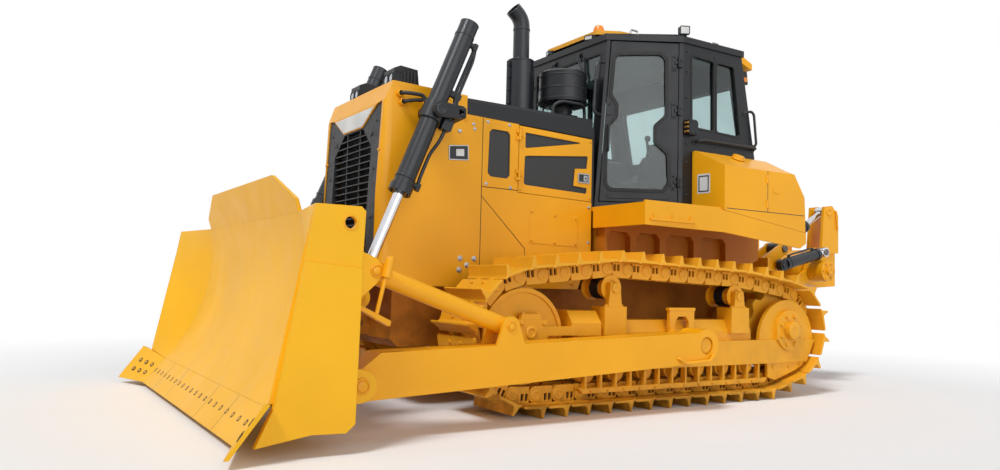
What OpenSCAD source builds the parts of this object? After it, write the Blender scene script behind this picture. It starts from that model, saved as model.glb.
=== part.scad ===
// Crawler bulldozer with a curved blade and a single-shank rear ripper, in millimetres.
// +X points forward, +Y to the machine's left and +Z up.
// The origin lies on the ground, at the middle of the overall length and width.

/* [Undercarriage] */
// Distance between the centre lines of the two tracks
track_gauge = 2100; // [1960:10:2160]
// Width of a track shoe
shoe_w = 560; // [480:10:600]
// Height of the bar across a track shoe
grouser_h = 70; // [45:1:80]
// Number of shoes on each track
shoe_count = 40; // [38:1:43]

/* [Body] */
// Width of the engine hood
hood_w = 1240; // [1180:10:1260]
// Width of the cab behind its doors
cab_w = 1900; // [1860:10:1940]
// Height of the cab walls
cab_h = 1500; // [1420:10:1580]
// Height of the exhaust tip above the ground
exhaust_top = 3577; // [3400:1:3700]

/* [Blade] */
// Width of the blade over its end bits
blade_w = 3960; // [3900:10:4200]
// Height of the blade's top edge above the ground
blade_top = 1685; // [1600:5:1760]

/* [Ripper] */
// Reach of the ripper shank below its beam
shank_len = 850; // [700:10:880]
// Thickness of the ripper shank
shank_t = 90; // [70:1:100]

/* [Hidden] */
$fn = 48;
// Positions along the machine are counted from the front of the tracks' contact with the ground
front_x = 2420;
rear_x = -4570;
mid_x = (front_x + rear_x) / 2;

cy = track_gauge / 2;
track_out = cy + shoe_w / 2;
hw = hood_w / 2;
cab_y = cab_w / 2;
floor_z = 1760;
roof_z = floor_z + cab_h;
deck_z = 1700;
deck_y = track_out - 20;
deck_x0 = -3120;
deck_x1 = -1050;

// Wheels that the track runs round, as [x, z, radius of the pin line]
wheels = [[40, 600, 452], [-2640, 298, 150], [-2940, 622, 383], [-2280, 930, 160], [-810, 980, 160]];
wheel_n = len(wheels);
pin_z = 148;
seat_h = 56;
plate_h = 78;
rail_h = 72;

// Push arms, strut and blade pins, as [x, z]
arm_y0 = track_out + 70;
arm_y1 = arm_y0 + 220;
arm_mid = (arm_y0 + arm_y1) / 2;
trunnion = [-1453, 532];
arm_pin = [1532, 348];
strut_rear = [441, 700];
strut_front = [1450, 1050];
strut_in = 85;

// Lift cylinders
lift_y = 850;
lift_pivot = [697, 2282];
lift_eye = [1270, 870];
lift_len = norm(lift_eye - lift_pivot);
lift_tilt = atan2(lift_eye[0] - lift_pivot[0], lift_eye[1] - lift_pivot[1]);

// Blade face
face_r = 1346;
face_deep = 1790;
face_x = face_deep + face_r;
face_z = 1107;
edge_z = 251;
board_z = 1417;
tip_y = blade_w / 2;
outer_y = tip_y - 120;
edge_y = tip_y - 415;
crease_y = tip_y - 780;
board_t = 30;

// Ripper pins, as [x, z]
link_front = [-3300, 770];
link_rear = [-4068, 1219];
tilt_front = [-3630, 1440];
tilt_rear = [-4398, 1889];
rip_lift_base = [-3420, 1260];
rip_lift_eye = [-4100, 1420];
tilt_y = 550;
link_y0 = 630;
link_y1 = 695;
rip_lift_y = 800;
rip_lift_w = 66;

// Cab plan: front corner, rear post of the door and rear corner
cab_f = [-1130, cab_y - 400];
cab_b = [-1830, cab_y];
cab_r = -2807;
lean = 80 / 1500;
rear_lean = 0.2;
knee_z = 2285;
wall = 50;
front_t = 30;
door_dir = atan2(cab_b[1] - cab_f[1], cab_b[0] - cab_f[0]);
door_len = norm(cab_b - cab_f);

paint = [0.93, 0.66, 0.10];
dark = [0.16, 0.17, 0.19];
black = [0.06, 0.06, 0.07];
steel = [0.55, 0.56, 0.58];
glass = [0.25, 0.45, 0.45, 0.4];

function ray(a) = [cos(a), sin(a)];
function side_normal(v) = [-v[1], v[0]] / norm(v);

// Angle of the outward normal along the straight run that follows wheel i
function run_dir(i) =
    let (a = wheels[i % wheel_n], b = wheels[(i + 1) % wheel_n], d = [b[0] - a[0], b[1] - a[1]])
    atan2(d[1], d[0]) + acos((a[2] - b[2]) / norm(d));
function run_len(i) =
    let (a = wheels[i], b = wheels[(i + 1) % wheel_n], d = norm([b[0] - a[0], b[1] - a[1]]))
    sqrt(d * d - pow(a[2] - b[2], 2));
function wrap_angle(i) = (run_dir(i + wheel_n - 1) - run_dir(i) + 1080) % 360;
function wrap_len(i) = wheels[i][2] * wrap_angle(i) * PI / 180;
function loop_start(i) = i == 0 ? 0 : loop_start(i - 1) + wrap_len(i - 1) + run_len(i - 1);
loop_len = loop_start(wheel_n);
pitch = loop_len / shoe_count;

// Point and normal angle on the pin line, a distance s round the loop
function on_loop(s) =
    let (i = max([for (k = [0:wheel_n - 1]) if (s >= loop_start(k)) k]), u = s - loop_start(i),
         w = wheels[i], c = [w[0], w[1]], a = run_dir(i))
    u < wrap_len(i)
        ? let (b = run_dir(i + wheel_n - 1) - u / w[2] * 180 / PI) [c + w[2] * ray(b), b]
        : [c + w[2] * ray(a) + (u - wrap_len(i)) * ray(a - 90), a];
pins = [for (k = [0:shoe_count - 1]) on_loop(k * pitch)];
function pin_at(k) = pins[k % shoe_count][0];
function pin_out(k, h) = pin_at(k) + h * ray(pins[k % shoe_count][1]);

// Point of shoe k, u along the shoe and v outwards from its pins
function shoe_pt(k, u, v) =
    let (d = pin_at(k + 1) - pin_at(k)) pin_at(k) + u * d / norm(d) + v * side_normal(d);
function shoe_chord(k) = norm(pin_at(k + 1) - pin_at(k));
shoe_outside = [
    for (k = [0:shoe_count - 1])
        let (c = shoe_chord(k))
        for (q = [[8, plate_h - 12], [8, plate_h], [c - 70, plate_h], [c - 50, plate_h + grouser_h],
                  [c - 34, plate_h + grouser_h], [c - 8, plate_h]])
            shoe_pt(k, q[0], q[1])
];
shoe_inside = [for (k = [0:shoe_count - 1]) pin_out(k, seat_h - 4)];
rail_outside = [for (k = [0:shoe_count - 1]) pin_out(k, seat_h)];
rail_inside = [
    for (k = [0:shoe_count - 1])
        let (c = shoe_chord(k))
        for (q = [[0, -rail_h + 20], [0.1 * c, -rail_h], [0.9 * c, -rail_h]])
            shoe_pt(k, q[0], q[1])
];

function face_at(z) = face_x - sqrt(face_r * face_r - pow(z - face_z, 2));
function back_at(z) = face_at(z) - board_t;
seam_x = 112;
hood_front = 265;
function cowl_top(x) = 2512 + (x - 124) * 28 / 806;
function hood_top(x) = 2500 + (x - hood_front) * 8 / 1300;
function band_z(x) = 2364 + (x - hood_front) * 49 / 1334;

// Shared shapes
module place() translate([-mid_x, 0, grouser_h - 70]) children();
module mirrored() mirror([0, 1, 0]) children();
module both() {
    children();
    mirrored() children();
}
module plate(pts, y0, y1) translate([0, y1, 0]) rotate([90, 0, 0]) linear_extrude(y1 - y0) polygon(pts);
module slab(pts, z0, z1) translate([0, 0, z0]) linear_extrude(z1 - z0) polygon(pts);
module cross(pts, x0, x1) translate([x0, 0, 0]) rotate([90, 0, 90]) linear_extrude(x1 - x0) polygon(pts);
module box(lo, hi) translate(lo) cube(hi - lo);
module drum(p, r, y0, y1) translate([p[0], y1, p[1]]) rotate([90, 0, 0]) cylinder(r = r, h = y1 - y0);
module post(x, y, r, z0, z1) translate([x, y, z0]) cylinder(r = r, h = z1 - z0);
module along(p, tilt, y) translate([p[0], y, p[1]]) rotate([0, tilt, 0]) children();
module bar(p, q, r, y) along(p, atan2(q[0] - p[0], q[1] - p[1]), y) cylinder(r = r, h = norm(q - p));
function mirror_pts(pts) = [for (i = [len(pts) - 1:-1:0]) [pts[i][0], -pts[i][1]]];
module plan_both(pts, z0, z1) slab(concat(pts, mirror_pts(pts)), z0, z1);

// Hinge: two outer knuckles carry the pin, and the middle knuckle turns on it
run_gap = 0.3;
hinge_out = 16;
module hinge_fixed(x, y, z) {
    post(x, y, 8, z - 45, z + 45);
    for (h = [z - 45, z + 16]) post(x, y, 14, h, h + 29);
}
module hinge_moving(x, y, z)
    difference() {
        post(x, y, 14, z - 15, z + 15);
        post(x, y, 8 + run_gap, z - 16, z + 16);
    }

// Undercarriage
module track_side() {
    translate([0, cy + shoe_w / 2, 0])
        rotate([90, 0, 0])
            linear_extrude(shoe_w)
                difference() {
                    polygon(shoe_outside);
                    polygon(shoe_inside);
                }
    for (s = [-1, 1])
        translate([0, cy + s * 90 + 30, 0])
            rotate([90, 0, 0])
                linear_extrude(60)
                    difference() {
                        polygon(rail_outside);
                        polygon(rail_inside);
                    }
}
module track_left() color(dark) place() track_side();
module track_right() color(dark) place() mirrored() track_side();

idler_c = [wheels[0][0], wheels[0][1]];
drive_c = [wheels[2][0], wheels[2][1]];
roller_n = 7;
roller_z = pin_z + rail_h + 90.5;

ledge_y = cy + 205;
ledge_z0 = 320;
ledge_z1 = 535;
cover_c = [-2925, 523];
module track_frame_side() {
    // Box beam along the track
    cross([[cy - 170, 410], [cy + 150, 410], [cy + 150, 620], [cy + 110, 720], [cy - 110, 720],
           [cy - 170, 640]], -2470, -420);
    // Inner guard that holds the rollers
    plate([[-420, 411], [-420, 330], [-500, 250], [-2380, 250], [-2470, 330], [-2470, 411]],
          cy - 170, cy - 150);
    // Outer ledge, its roller guard with gussets, and the guard below the sprocket
    plate([[-430, ledge_z0], [-430, ledge_z1], [-3322, ledge_z1], [-3205, ledge_z0]], cy + 150, ledge_y);
    box([-2470, cy + 140, 411], [-430, cy + 151, ledge_z1]);
    plate([[-440, 190], [-480, 150], [-2600, 150], [-2640, 190]], cy + 150, cy + 200);
    for (k = [0:13]) box([-520 - k * 155, cy + 150, 189], [-500 - k * 155, cy + 200, ledge_z0 + 1]);
    plate([[-2650, 321], [-3190, 321], [-3150, 285], [-3040, 240], [-2760, 160], [-2660, 190]],
          cy + 160, cy + 190);
    // Fork and bearing blocks that hold the idler
    plate([[-421, 520], [20, 520], [100, 550], [130, 600], [100, 650], [20, 685], [-421, 685]],
          cy - 170, cy - 145);
    plate([[-421, 605], [-421, 675], [-133, 675], [-133, 728], [143, 728], [143, 530], [-133, 530],
           [-133, 605]], cy + 145, cy + 200);
    plate([[-83, 727], [-70, 772], [98, 772], [111, 727]], cy + 150, cy + 190);
    // Cover of the track adjuster
    cross([[cy - 110, 600], [cy + 195, 600], [cy + 195, 700], [cy + 120, 795], [cy - 110, 795]], -660, -366);
    // Half-round cover, bearing and hub at the sprocket
    intersection() {
        drum(cover_c, 384, cy + 151, cy + 190);
        box([-3400, cy, ledge_z1 - 1], [-2400, cy + 300, 1000]);
    }
    plate([[-3130, ledge_z1 - 1], [-3130, drive_c[1]], [-2750, drive_c[1]], [-2750, ledge_z1 - 1]],
          cy + 189, cy + 225);
    drum(drive_c, 190, cy + 189, cy + 225);
    drum(drive_c, 85, cy + 224, cy + 270);
    // Pedestals and brackets of the carrier rollers
    for (i = [3, 4]) {
        box([wheels[i][0] - 115, cy + 20, 600], [wheels[i][0] + 115, cy + 195, 830]);
        plate([[wheels[i][0] - 70, 829], [wheels[i][0] + 70, 829], [wheels[i][0] + 50, wheels[i][1] + 45],
               [wheels[i][0] - 50, wheels[i][1] + 45]], cy + 135, cy + 185);
    }
    // Step
    difference() {
        plate([[-1400, ledge_z1 - 1], [-1400, 815], [-1690, 815], [-1690, ledge_z1 - 1]], cy + 165, cy + 200);
        plate([[-1465, 600], [-1465, 700], [-1500, 750], [-1590, 750], [-1625, 700], [-1625, 600]],
              cy + 164, cy + 201);
    }
    // Trunnion of the push arm
    drum(trunnion, 115, cy + 199, cy + 250);
    drum(trunnion, 70, cy + 249, arm_y1 - 20);
}
module track_frames() color(paint) place() both() track_frame_side();

module idlers() color(paint) place() both() {
    difference() {
        union() {
            drum(idler_c, 364, cy - 125, cy + 125);
            drum(idler_c, 384, cy - 50, cy + 50);
        }
        for (s = [-1, 1]) drum(idler_c, 330, cy + (s > 0 ? 113 : -126), cy + (s > 0 ? 126 : -113));
    }
    drum(idler_c, 95, cy - 145, cy + 145);
}

tooth_n = 11;
module sprockets() color(steel) place() both() {
    translate([drive_c[0], cy + 45, drive_c[1]])
        rotate([90, 0, 0])
            linear_extrude(90)
                polygon([for (k = [0:tooth_n * 4 - 1])
                    (k % 4 < 2 ? 402 : 345) * ray((k + 0.5) * 90 / tooth_n)]);
    drum(drive_c, 200, cy + 44, cy + 150);
}

module rollers() color(paint) place() both() {
    for (i = [3, 4]) {
        drum([wheels[i][0], wheels[i][1]], 79, cy - 130, cy + 125);
        drum([wheels[i][0], wheels[i][1]], 45, cy + 124, cy + 135);
    }
    for (k = [0:roller_n - 1]) {
        c = [-560 - k * 310, roller_z];
        drum(c, 90, cy - 130, cy - 50);
        drum(c, 90, cy + 50, cy + 130);
        drum(c, 65, cy - 150, cy + 150);
    }
}

// Frame with the final drives, the pivot shaft, the equalizer bar and the front tow eye
tow_eye = [890, 640];
hull_y = 740;
hull_pockets = [[-1130, -1400], [-1470, -1760], [-1840, -2200], [-2280, -2640]];
module main_frame() color(paint) place() {
    both() {
        drum(drive_c, 255, 479, cy - 45);
        drum(drive_c, 300, 479, 560);
        drum([-2250, 590], 75, 479, cy - 170);
    }
    box([-640, -(cy - 170), 410], [-460, cy - 170, 481]);
    difference() {
        plate([[819, 550], [819, 720], [930, 710], [965, 640], [930, 570]], -30, 30);
        drum(tow_eye, 32, -31, 31);
    }
    plate([[820, 960], [820, 540], [760, 480], [-2600, 480], [-3000, 560], [-3250, 760], [-3250, 1330],
           [-3000, 1660], [-1100, 1660], [-1100, 960]], -480, 480);
    // Hull sides with pockets
    both() difference() {
        plate([[-1100, 1180], [-1100, 1660], [-3000, 1660], [-3120, 1500], [-3120, 1300], [-2800, 1180]],
              479, hull_y);
        for (p = hull_pockets)
            plate([[p[0], 1215], [p[0], 1440], [p[0] - 45, 1485], [p[1] + 45, 1485], [p[1], 1440],
                   [p[1], 1215]], hull_y - 70, hull_y + 1);
    }
}

module engine_block() color(dark) place() {
    box([-980, -330, 960], [seam_x - 6, 330, 1900]);
    box([seam_x - 7, -330, 1001], [560, 330, 1900]);
    box([-900, -220, 1899], [460, 220, 2200]);
}

// Body
front_hole = [[-545, 1060], [545, 1060], [560, 1300], [560, 2385], [455, 2373], [205, 2224], [-205, 2224],
              [-455, 2373], [-560, 2385], [-560, 1300]];
module radiator_cowl() color(paint) place() {
    difference() {
        intersection() {
            plate([[seam_x, 960], [1010, 960], [1030, 1500], [990, 2380], [930, cowl_top(930)],
                   [seam_x, cowl_top(seam_x)]], -hw, hw);
            union() {
                box([100, -hw, 900], [930, hw, 2600]);
                box([900, -hw + 110, 900], [1050, hw - 110, 2600]);
                both() post(925, hw - 110, 110, 900, 2600);
            }
        }
        plate([[80, 1000], [950, 1000], [960, 1500], [930, 2340], [880, 2480], [80, 2460]],
              -hw + 45, hw - 45);
        cross(front_hole, 850, 1100);
        plate([[seam_x - 20, band_z(seam_x - 20) - sit], [hood_front, band_z(hood_front) - sit],
               [hood_front, 2700], [seam_x - 20, 2700]], -hw - 1, hw + 1);
    }
}

// Dark trim plates, slats and upright bars in the front of the cowl
slat_hole = [[-380, 1090], [380, 1090], [392, 2045], [205, 2212], [-205, 2212], [-392, 2045]];
slat_n = 20;
slat_step = 55;
function slat_half(z) = z < 2045 ? 395 : 402 - (z - 2045) * 187 / 167;
module grille() color(black) place() {
    intersection() {
        plate([[955, 1060], [1004, 1060], [1018, 1500], [986, 2300], [976, 2385], [945, 2385]], -560, 560);
        difference() {
            cross(front_hole, 900, 1100);
            cross(slat_hole, 899, 1101);
        }
    }
    for (k = [0:slat_n - 1])
        let (z = 1105 + k * slat_step, w = slat_half(z + 10)) box([962, -w, z], [992, w, z + 10]);
    for (y = [-135, 135]) box([958, y - 7, 1080], [986, y + 7, 2220]);
}

module hood() color(dark) place() {
    difference() {
        intersection() {
            plate([[hood_front, band_z(hood_front)], [hood_front, hood_top(hood_front)],
                   [-1040, hood_top(-1040)], [-1040, band_z(-1040)]], -hw, hw);
            cross([[-hw, 2200], [hw, 2200], [hw, 2470], [hw - 30, 2530], [30 - hw, 2530], [-hw, 2470]],
                  -1100, hood_front + 1);
        }
        plate([[hood_front + 1, 2340], [hood_front + 1, 2450], [-990, 2440], [-990, 2270]],
              -hw + 40, hw - 40);
    }
    box([-1085, -hw + 30, deck_z], [-1039, hw - 30, 2420]);
}

engine_hinge_x = -247;
engine_hinge_zs = [1911, 2254];
door_gap = 3;
panel_window = [[47, 2245], [20, 2273], [-132, 2271], [-158, 2243], [-160, 1900], [-133, 1872], [28, 1875],
                [56, 1903]];
module side_panels() color(paint) place() both() {
    for (z = engine_hinge_zs) {
        hinge_fixed(engine_hinge_x, hw + hinge_out, z);
        for (h = [z - 45, z + 16])
            box([engine_hinge_x + 5, hw - 1, h], [engine_hinge_x + 33, hw + hinge_out, h + 29]);
    }
    difference() {
        plate([[seam_x - sit, 960], [seam_x - sit, band_z(seam_x) - sit],
               [engine_hinge_x + door_gap, band_z(engine_hinge_x) - sit], [engine_hinge_x + door_gap, 1764],
               [-1040, 1740], [-1040, 1300], [-900, 960]], hw - 25, hw);
        plate(panel_window, hw - 12, hw + 1);
        // Seams between the sheets
        plate([[seam_x + 20, 1782], [seam_x + 20, 1788], [engine_hinge_x, 1784], [engine_hinge_x, 1778]],
              hw - 4, hw + 1);
        plate([[seam_x + 20, 1724], [seam_x + 20, 1732], [-331, 1296], [-331, 940], [-325, 940],
               [-325, 1293]], hw - 4, hw + 1);
    }
    // Bolted cover
    plate([[-370, 1637], [-887, 1598], [-890, 1333], [-369, 1344]], hw - 1, hw + 3);
}

door_window_top = [[-313, 2285], [-313, 2158], [-330, 2152], [-895, 2254], [-900, 2264]];
door_window = [[-310, 2075], [-330, 2087], [-981, 2150], [-991, 2140], [-980, 2038], [-849, 2025],
               [-835, 1873], [-984, 1864], [-981, 1822], [-970, 1812], [-325, 1836], [-305, 1848]];
module engine_door_panel() {
    for (z = engine_hinge_zs) {
        hinge_moving(engine_hinge_x, hw + hinge_out, z);
        difference() {
            box([engine_hinge_x - 37, hw - 1, z - 15], [engine_hinge_x - 5, hw + hinge_out, z + 15]);
            post(engine_hinge_x, hw + hinge_out, 8 + run_gap, z - 16, z + 16);
        }
    }
    difference() {
        plate([[engine_hinge_x - door_gap, 1768], [engine_hinge_x - door_gap, band_z(engine_hinge_x) - 9],
               [-1037, band_z(-1037) - 9], [-1037, 1745]], hw - 25, hw);
        plate(door_window_top, hw - 12, hw + 1);
        plate(door_window, hw - 12, hw + 1);
    }
}
module engine_door_left() color(paint) place() engine_door_panel();
module engine_door_right() color(paint) place() mirrored() engine_door_panel();

stack = [-558, 150];
pipe_r = 75;
bend_r = 150;
bend_a = 50;
foot_z = 2570;
bend_z = exhaust_top - 211;
sit = 0.1;
module exhaust_stack() color(dark) place() {
    plate([[stack[0] - 140, hood_top(stack[0] - 140) + sit], [stack[0] + 140, hood_top(stack[0] + 140) + sit],
           [stack[0] + 140, foot_z], [stack[0] - 140, foot_z]], stack[1] - 130, stack[1] + 130);
    post(stack[0], stack[1], 118, foot_z - 1, bend_z - 316);
    post(stack[0], stack[1], pipe_r, bend_z - 317, bend_z + 1);
    // Curved tip, open at its end
    translate([stack[0] + bend_r, stack[1], bend_z])
        mirror([1, 0, 0])
            rotate([90, 0, 0])
                rotate_extrude(angle = bend_a) translate([bend_r, 0]) circle(r = pipe_r);
    translate([stack[0] + bend_r - bend_r * cos(bend_a), stack[1], bend_z + bend_r * sin(bend_a)])
        rotate([0, bend_a, 0])
            difference() {
                translate([0, 0, -1]) cylinder(r = pipe_r, h = 61);
                cylinder(r = pipe_r - 9, h = 61);
            }
}

cleaner = [-935, 300];
module precleaner() color(black) place() {
    plate([[cleaner[0] - 100, hood_top(cleaner[0] - 100) + sit],
           [cleaner[0] + 100, hood_top(cleaner[0] + 100) + sit], [cleaner[0] + 100, 2560],
           [cleaner[0] - 100, 2560]], cleaner[1] - 100, cleaner[1] + 100);
    post(cleaner[0], cleaner[1], 85, 2559, 2641);
    translate([cleaner[0], cleaner[1], 2640]) cylinder(r1 = 150, r2 = 238, h = 30);
    post(cleaner[0], cleaner[1], 220, 2669, 2945);
    translate([cleaner[0], cleaner[1], 2944]) cylinder(r1 = 220, r2 = 195, h = 18);
}

skirt = [[deck_x1, 1510], [deck_x1, 1715], [-1940, 1715], [-1941, 1699], [deck_x0, 1551], [deck_x0, 1451],
         [-3031, 1400], [-1990, 1497]];
module deck() color(paint) place() {
    plan_both([[deck_x1, deck_y - 19], [-1995, deck_y - 19], [-1995, deck_y - 20], [deck_x0, deck_y - 20]],
              deck_z - 40, deck_z);
    both() {
        plate(skirt, deck_y - 20, deck_y);
        box([deck_x1 - 20, hw + 12, 1510], [deck_x1, deck_y - 19, deck_z - 39]);
    }
}

tank_rear = [[-3108, deck_z], [-3096, 1891], [-2916, 2142]];
module tank_side() {
    difference() {
        cross([[cab_y + 5, deck_z], [deck_y, deck_z], [deck_y, 2100], [cab_y + 45, 2260], [cab_y + 5, 2260]],
              deck_x0, -1950);
        plate(concat([[deck_x0 - 50, deck_z - 10], [-3108, deck_z - 10]], tank_rear,
                     [[-2916, 2300], [deck_x0 - 50, 2300]]), cab_y, deck_y + 1);
        slab([[-1949, cab_y + 20], [-1949, deck_y + 1], [-1992, deck_y + 1]], deck_z - 10, 2300);
    }
    // Side sheet down to the fender's sloped edge
    plate([[-2000, 1694], [-2000, deck_z + 1], [-3108, deck_z + 1], [-3108, 1555]], deck_y - 20, deck_y);
}
module tanks() color(paint) place() {
    both() tank_side();
    plate(concat([[-2860, deck_z]], tank_rear, [[-2860, 2230]]), -cab_y + 20, cab_y - 20);
}

// Cab
module cab_floor() color(dark) place()
    plan_both([cab_f, cab_b, [cab_r - 30, cab_b[1]]], deck_z, floor_z);

module cab_prism(z0, z1) plan_both([cab_f, cab_b, [cab_r - 100, cab_b[1]]], z0, z1);
function front_x_at(z) = cab_f[0] - lean * (z - floor_z);
front_window = [[-cab_f[1] + 80, 2330], [cab_f[1] - 80, 2330], [cab_f[1] - 30, roof_z - 110],
                [-cab_f[1] + 30, roof_z - 110]];

module cab_front() color(dark) place()
    difference() {
        intersection() {
            plate([[front_x_at(floor_z), floor_z], [front_x_at(roof_z), roof_z],
                   [front_x_at(roof_z) - front_t, roof_z], [front_x_at(floor_z) - front_t, floor_z]],
                  -cab_y, cab_y);
            cab_prism(floor_z - 10, roof_z + 10);
        }
        cross(front_window, -1500, -1000);
    }

// Cab walls behind the doors, with the door post and two window openings
side_x0 = cab_b[0] - 70;
function rear_x_at(z) = cab_r + (z > knee_z ? rear_lean * (z - knee_z) : 0);
door_end = door_len - 40;
function on_door(s, t) = cab_f + s * ray(door_dir) + t * ray(door_dir + 90);
side_pane_1 = [[-1945, 2486], [-1935, roof_z - 95], [-2232, roof_z - 107], [-2238, 2478]];
side_pane_2 = [[-2268, 2476], [-2262, roof_z - 108], [rear_x_at(roof_z - 115) + 128, roof_z - 115],
               [rear_x_at(2466) + 166, 2466]];

cab_hinge_s = door_end - 3;
cab_hinge_zs = [1960, 2623, roof_z - 191];
module on_door_wall() translate([cab_f[0], cab_f[1], 0]) rotate([0, 0, door_dir]) children();
module cab_side_wall() {
    on_door_wall() for (z = cab_hinge_zs) {
        hinge_fixed(cab_hinge_s, -hinge_out, z);
        for (h = [z - 45, z + 16]) box([cab_hinge_s + 5, -hinge_out, h], [cab_hinge_s + 33, 1, h + 29]);
    }
    slab([on_door(door_end, 0), cab_b, [side_x0 - 1, cab_y], [side_x0 - 1, cab_y - wall],
          on_door(door_end, 60)], floor_z, roof_z);
    difference() {
        plate([[side_x0, floor_z], [side_x0, roof_z], [rear_x_at(roof_z), roof_z], [cab_r, knee_z],
               [cab_r, floor_z]], cab_y - wall, cab_y);
        plate(side_pane_1, cab_y - wall - 1, cab_y + 1);
        plate(side_pane_2, cab_y - wall - 1, cab_y + 1);
    }
}
module cab_side_left() color(dark) place() cab_side_wall();
module cab_side_right() color(dark) place() mirrored() cab_side_wall();

rear_window = [[-cab_y + 150, 2400], [cab_y - 150, 2400], [cab_y - 150, roof_z - 275],
               [-cab_y + 150, roof_z - 275]];
module cab_rear() color(dark) place()
    difference() {
        plate([[cab_r, floor_z], [cab_r, knee_z], [rear_x_at(roof_z), roof_z],
               [rear_x_at(roof_z) + 60, roof_z], [cab_r + 60, knee_z], [cab_r + 60, floor_z]],
              -cab_y + wall, cab_y - wall);
        cross(rear_window, cab_r - 140, cab_r + 360);
    }

// Roof with a raised middle, a front visor and a sloped rear visor
roof_end = rear_x_at(roof_z) - 20;
module cab_roof() color(paint) place() {
    plan_both([[front_x_at(roof_z) + 15, cab_f[1] + 45], [cab_b[0] + 15, cab_y + 15], [roof_end, cab_y + 15]],
              roof_z, roof_z + 60);
    plan_both([[-1320, 480], [-1850, cab_y - 110], [-2480, cab_y - 110]], roof_z + 59, roof_z + 112);
    plan_both([[-1250, 390], [-1440, 500], [-1600, 520]], roof_z + 111, roof_z + 152);
    plate([[roof_end + 2, roof_z + 60], [roof_end + 2, roof_z + 2], [roof_end - 8, roof_z - 25],
           [roof_end - 198, roof_z - 85], [roof_end - 198, roof_z - 20]], -720, 720);
}

// Glass set in the middle of each wall
pane_t = 8;
module cab_glass() color(glass) place() {
    intersection() {
        plate([[front_x_at(floor_z) - 11, floor_z], [front_x_at(roof_z) - 11, roof_z],
               [front_x_at(roof_z) - 11 - pane_t, roof_z], [front_x_at(floor_z) - 11 - pane_t, floor_z]],
              -cab_y, cab_y);
        cross(front_window, -1500, -1000);
    }
    intersection() {
        plate([[rear_x_at(knee_z) + 25, knee_z], [rear_x_at(roof_z) + 25, roof_z],
               [rear_x_at(roof_z) + 25 + pane_t, roof_z], [rear_x_at(knee_z) + 25 + pane_t, knee_z]],
              -cab_y + wall, cab_y - wall);
        cross(rear_window, cab_r - 140, cab_r + 360);
    }
    both() for (p = [side_pane_1, side_pane_2]) plate(p, cab_y - 21 - pane_t, cab_y - 21);
}

// Door in the slanted wall between the cab's front corner and its rear post
door_t = 45;
door_lo = floor_z + 8;
door_hi = roof_z - 8;
function door_s(z) = 44 + lean * (z - floor_z) / -cos(door_dir);
door_back = door_end - 6;
// Door window with a waist at the lock and at the hinge side
door_hole = [[165, roof_z - 175], [195, roof_z - 130], [590, roof_z - 110], [645, roof_z - 160],
             [650, 2575], [547, 2478], [547, 2322], [668, 2222], [683, 1950], [630, 1878], [138, 1880],
             [100, 1930], [104, 2435], [192, 2545], [197, 2660], [138, 2750]];
module door_panel()
    on_door_wall() {
        for (z = cab_hinge_zs) {
            hinge_moving(cab_hinge_s, -hinge_out, z);
            difference() {
                box([cab_hinge_s - 38, -hinge_out, z - 15], [cab_hinge_s - 5, 1, z + 15]);
                post(cab_hinge_s, -hinge_out, 8 + run_gap, z - 16, z + 16);
            }
        }
        difference() {
            plate([[door_s(door_lo), door_lo], [door_s(door_hi), door_hi], [door_back, door_hi],
                   [door_back, door_lo]], 0, door_t);
            plate(door_hole, -1, door_t + 1);
        }
    }
module door_pane() on_door_wall() plate(door_hole, 16, 24);
module cab_door_left() color(dark) place() door_panel();
module cab_door_right() color(dark) place() mirrored() door_panel();
module door_glass_left() color(glass) place() door_pane();
module door_glass_right() color(glass) place() mirrored() door_pane();

module seat() color(black) place() {
    box([-2480, -230, floor_z], [-2020, 230, 1960]);
    box([-2500, -260, 1959], [-1960, 260, 2080]);
    plate([[-2500, 2079], [-2390, 2079], [-2470, 2720], [-2560, 2720]], -250, 250);
}

module console() color(black) place() {
    both() plate([[-1850, floor_z], [-1850, 2180], [-1900, 2260], [-2350, 2260], [-2350, floor_z]], 330, 480);
    plate([[-1260, floor_z], [-1300, 2260], [-1400, 2260], [-1470, 2100], [-1470, floor_z]], -330, 330);
    both() translate([-1930, 400, 2240]) rotate([0, 10, 0]) cylinder(r = 14, h = 200);
    both() translate([-1905, 400, 2450]) sphere(30);
}

module lamps() color(dark) place() {
    both() plate([[620, cowl_top(620) + sit], [845, cowl_top(845) + sit], [845, 2690], [790, 2715],
                  [640, 2700]], 260, 450);
    // Lamps under the front visor and at the roof's corners
    both() box([-1300, 275, roof_z + 60], [-1215, 375, roof_z + 110]);
    both() box([-1860, cab_y - 45, roof_z + 60], [-1800, cab_y + 10, roof_z + 150]);
    // Housing below the rear visor
    let (z0 = roof_z - 240, z1 = roof_z - 110)
        plate([[rear_x_at(z0) - sit, z0], [rear_x_at(z1) - sit, z1], [roof_end - 190, z1],
               [roof_end - 190, z0 + 10]], -620, 620);
}

yoke_arm = [[559, 2210], [559, 2350], [660, 2360], [760, 2330], [760, 2230], [660, 2205]];
module lift_yokes() color(dark) place() both() {
    box([470, hw, 2210], [560, lift_y + 150, 2350]);
    for (y = [lift_y - 140, lift_y + 105])
        difference() {
            plate(yoke_arm, y, y + 35);
            drum(lift_pivot, 38 + run_gap, y - 1, y + 36);
        }
}

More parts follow.
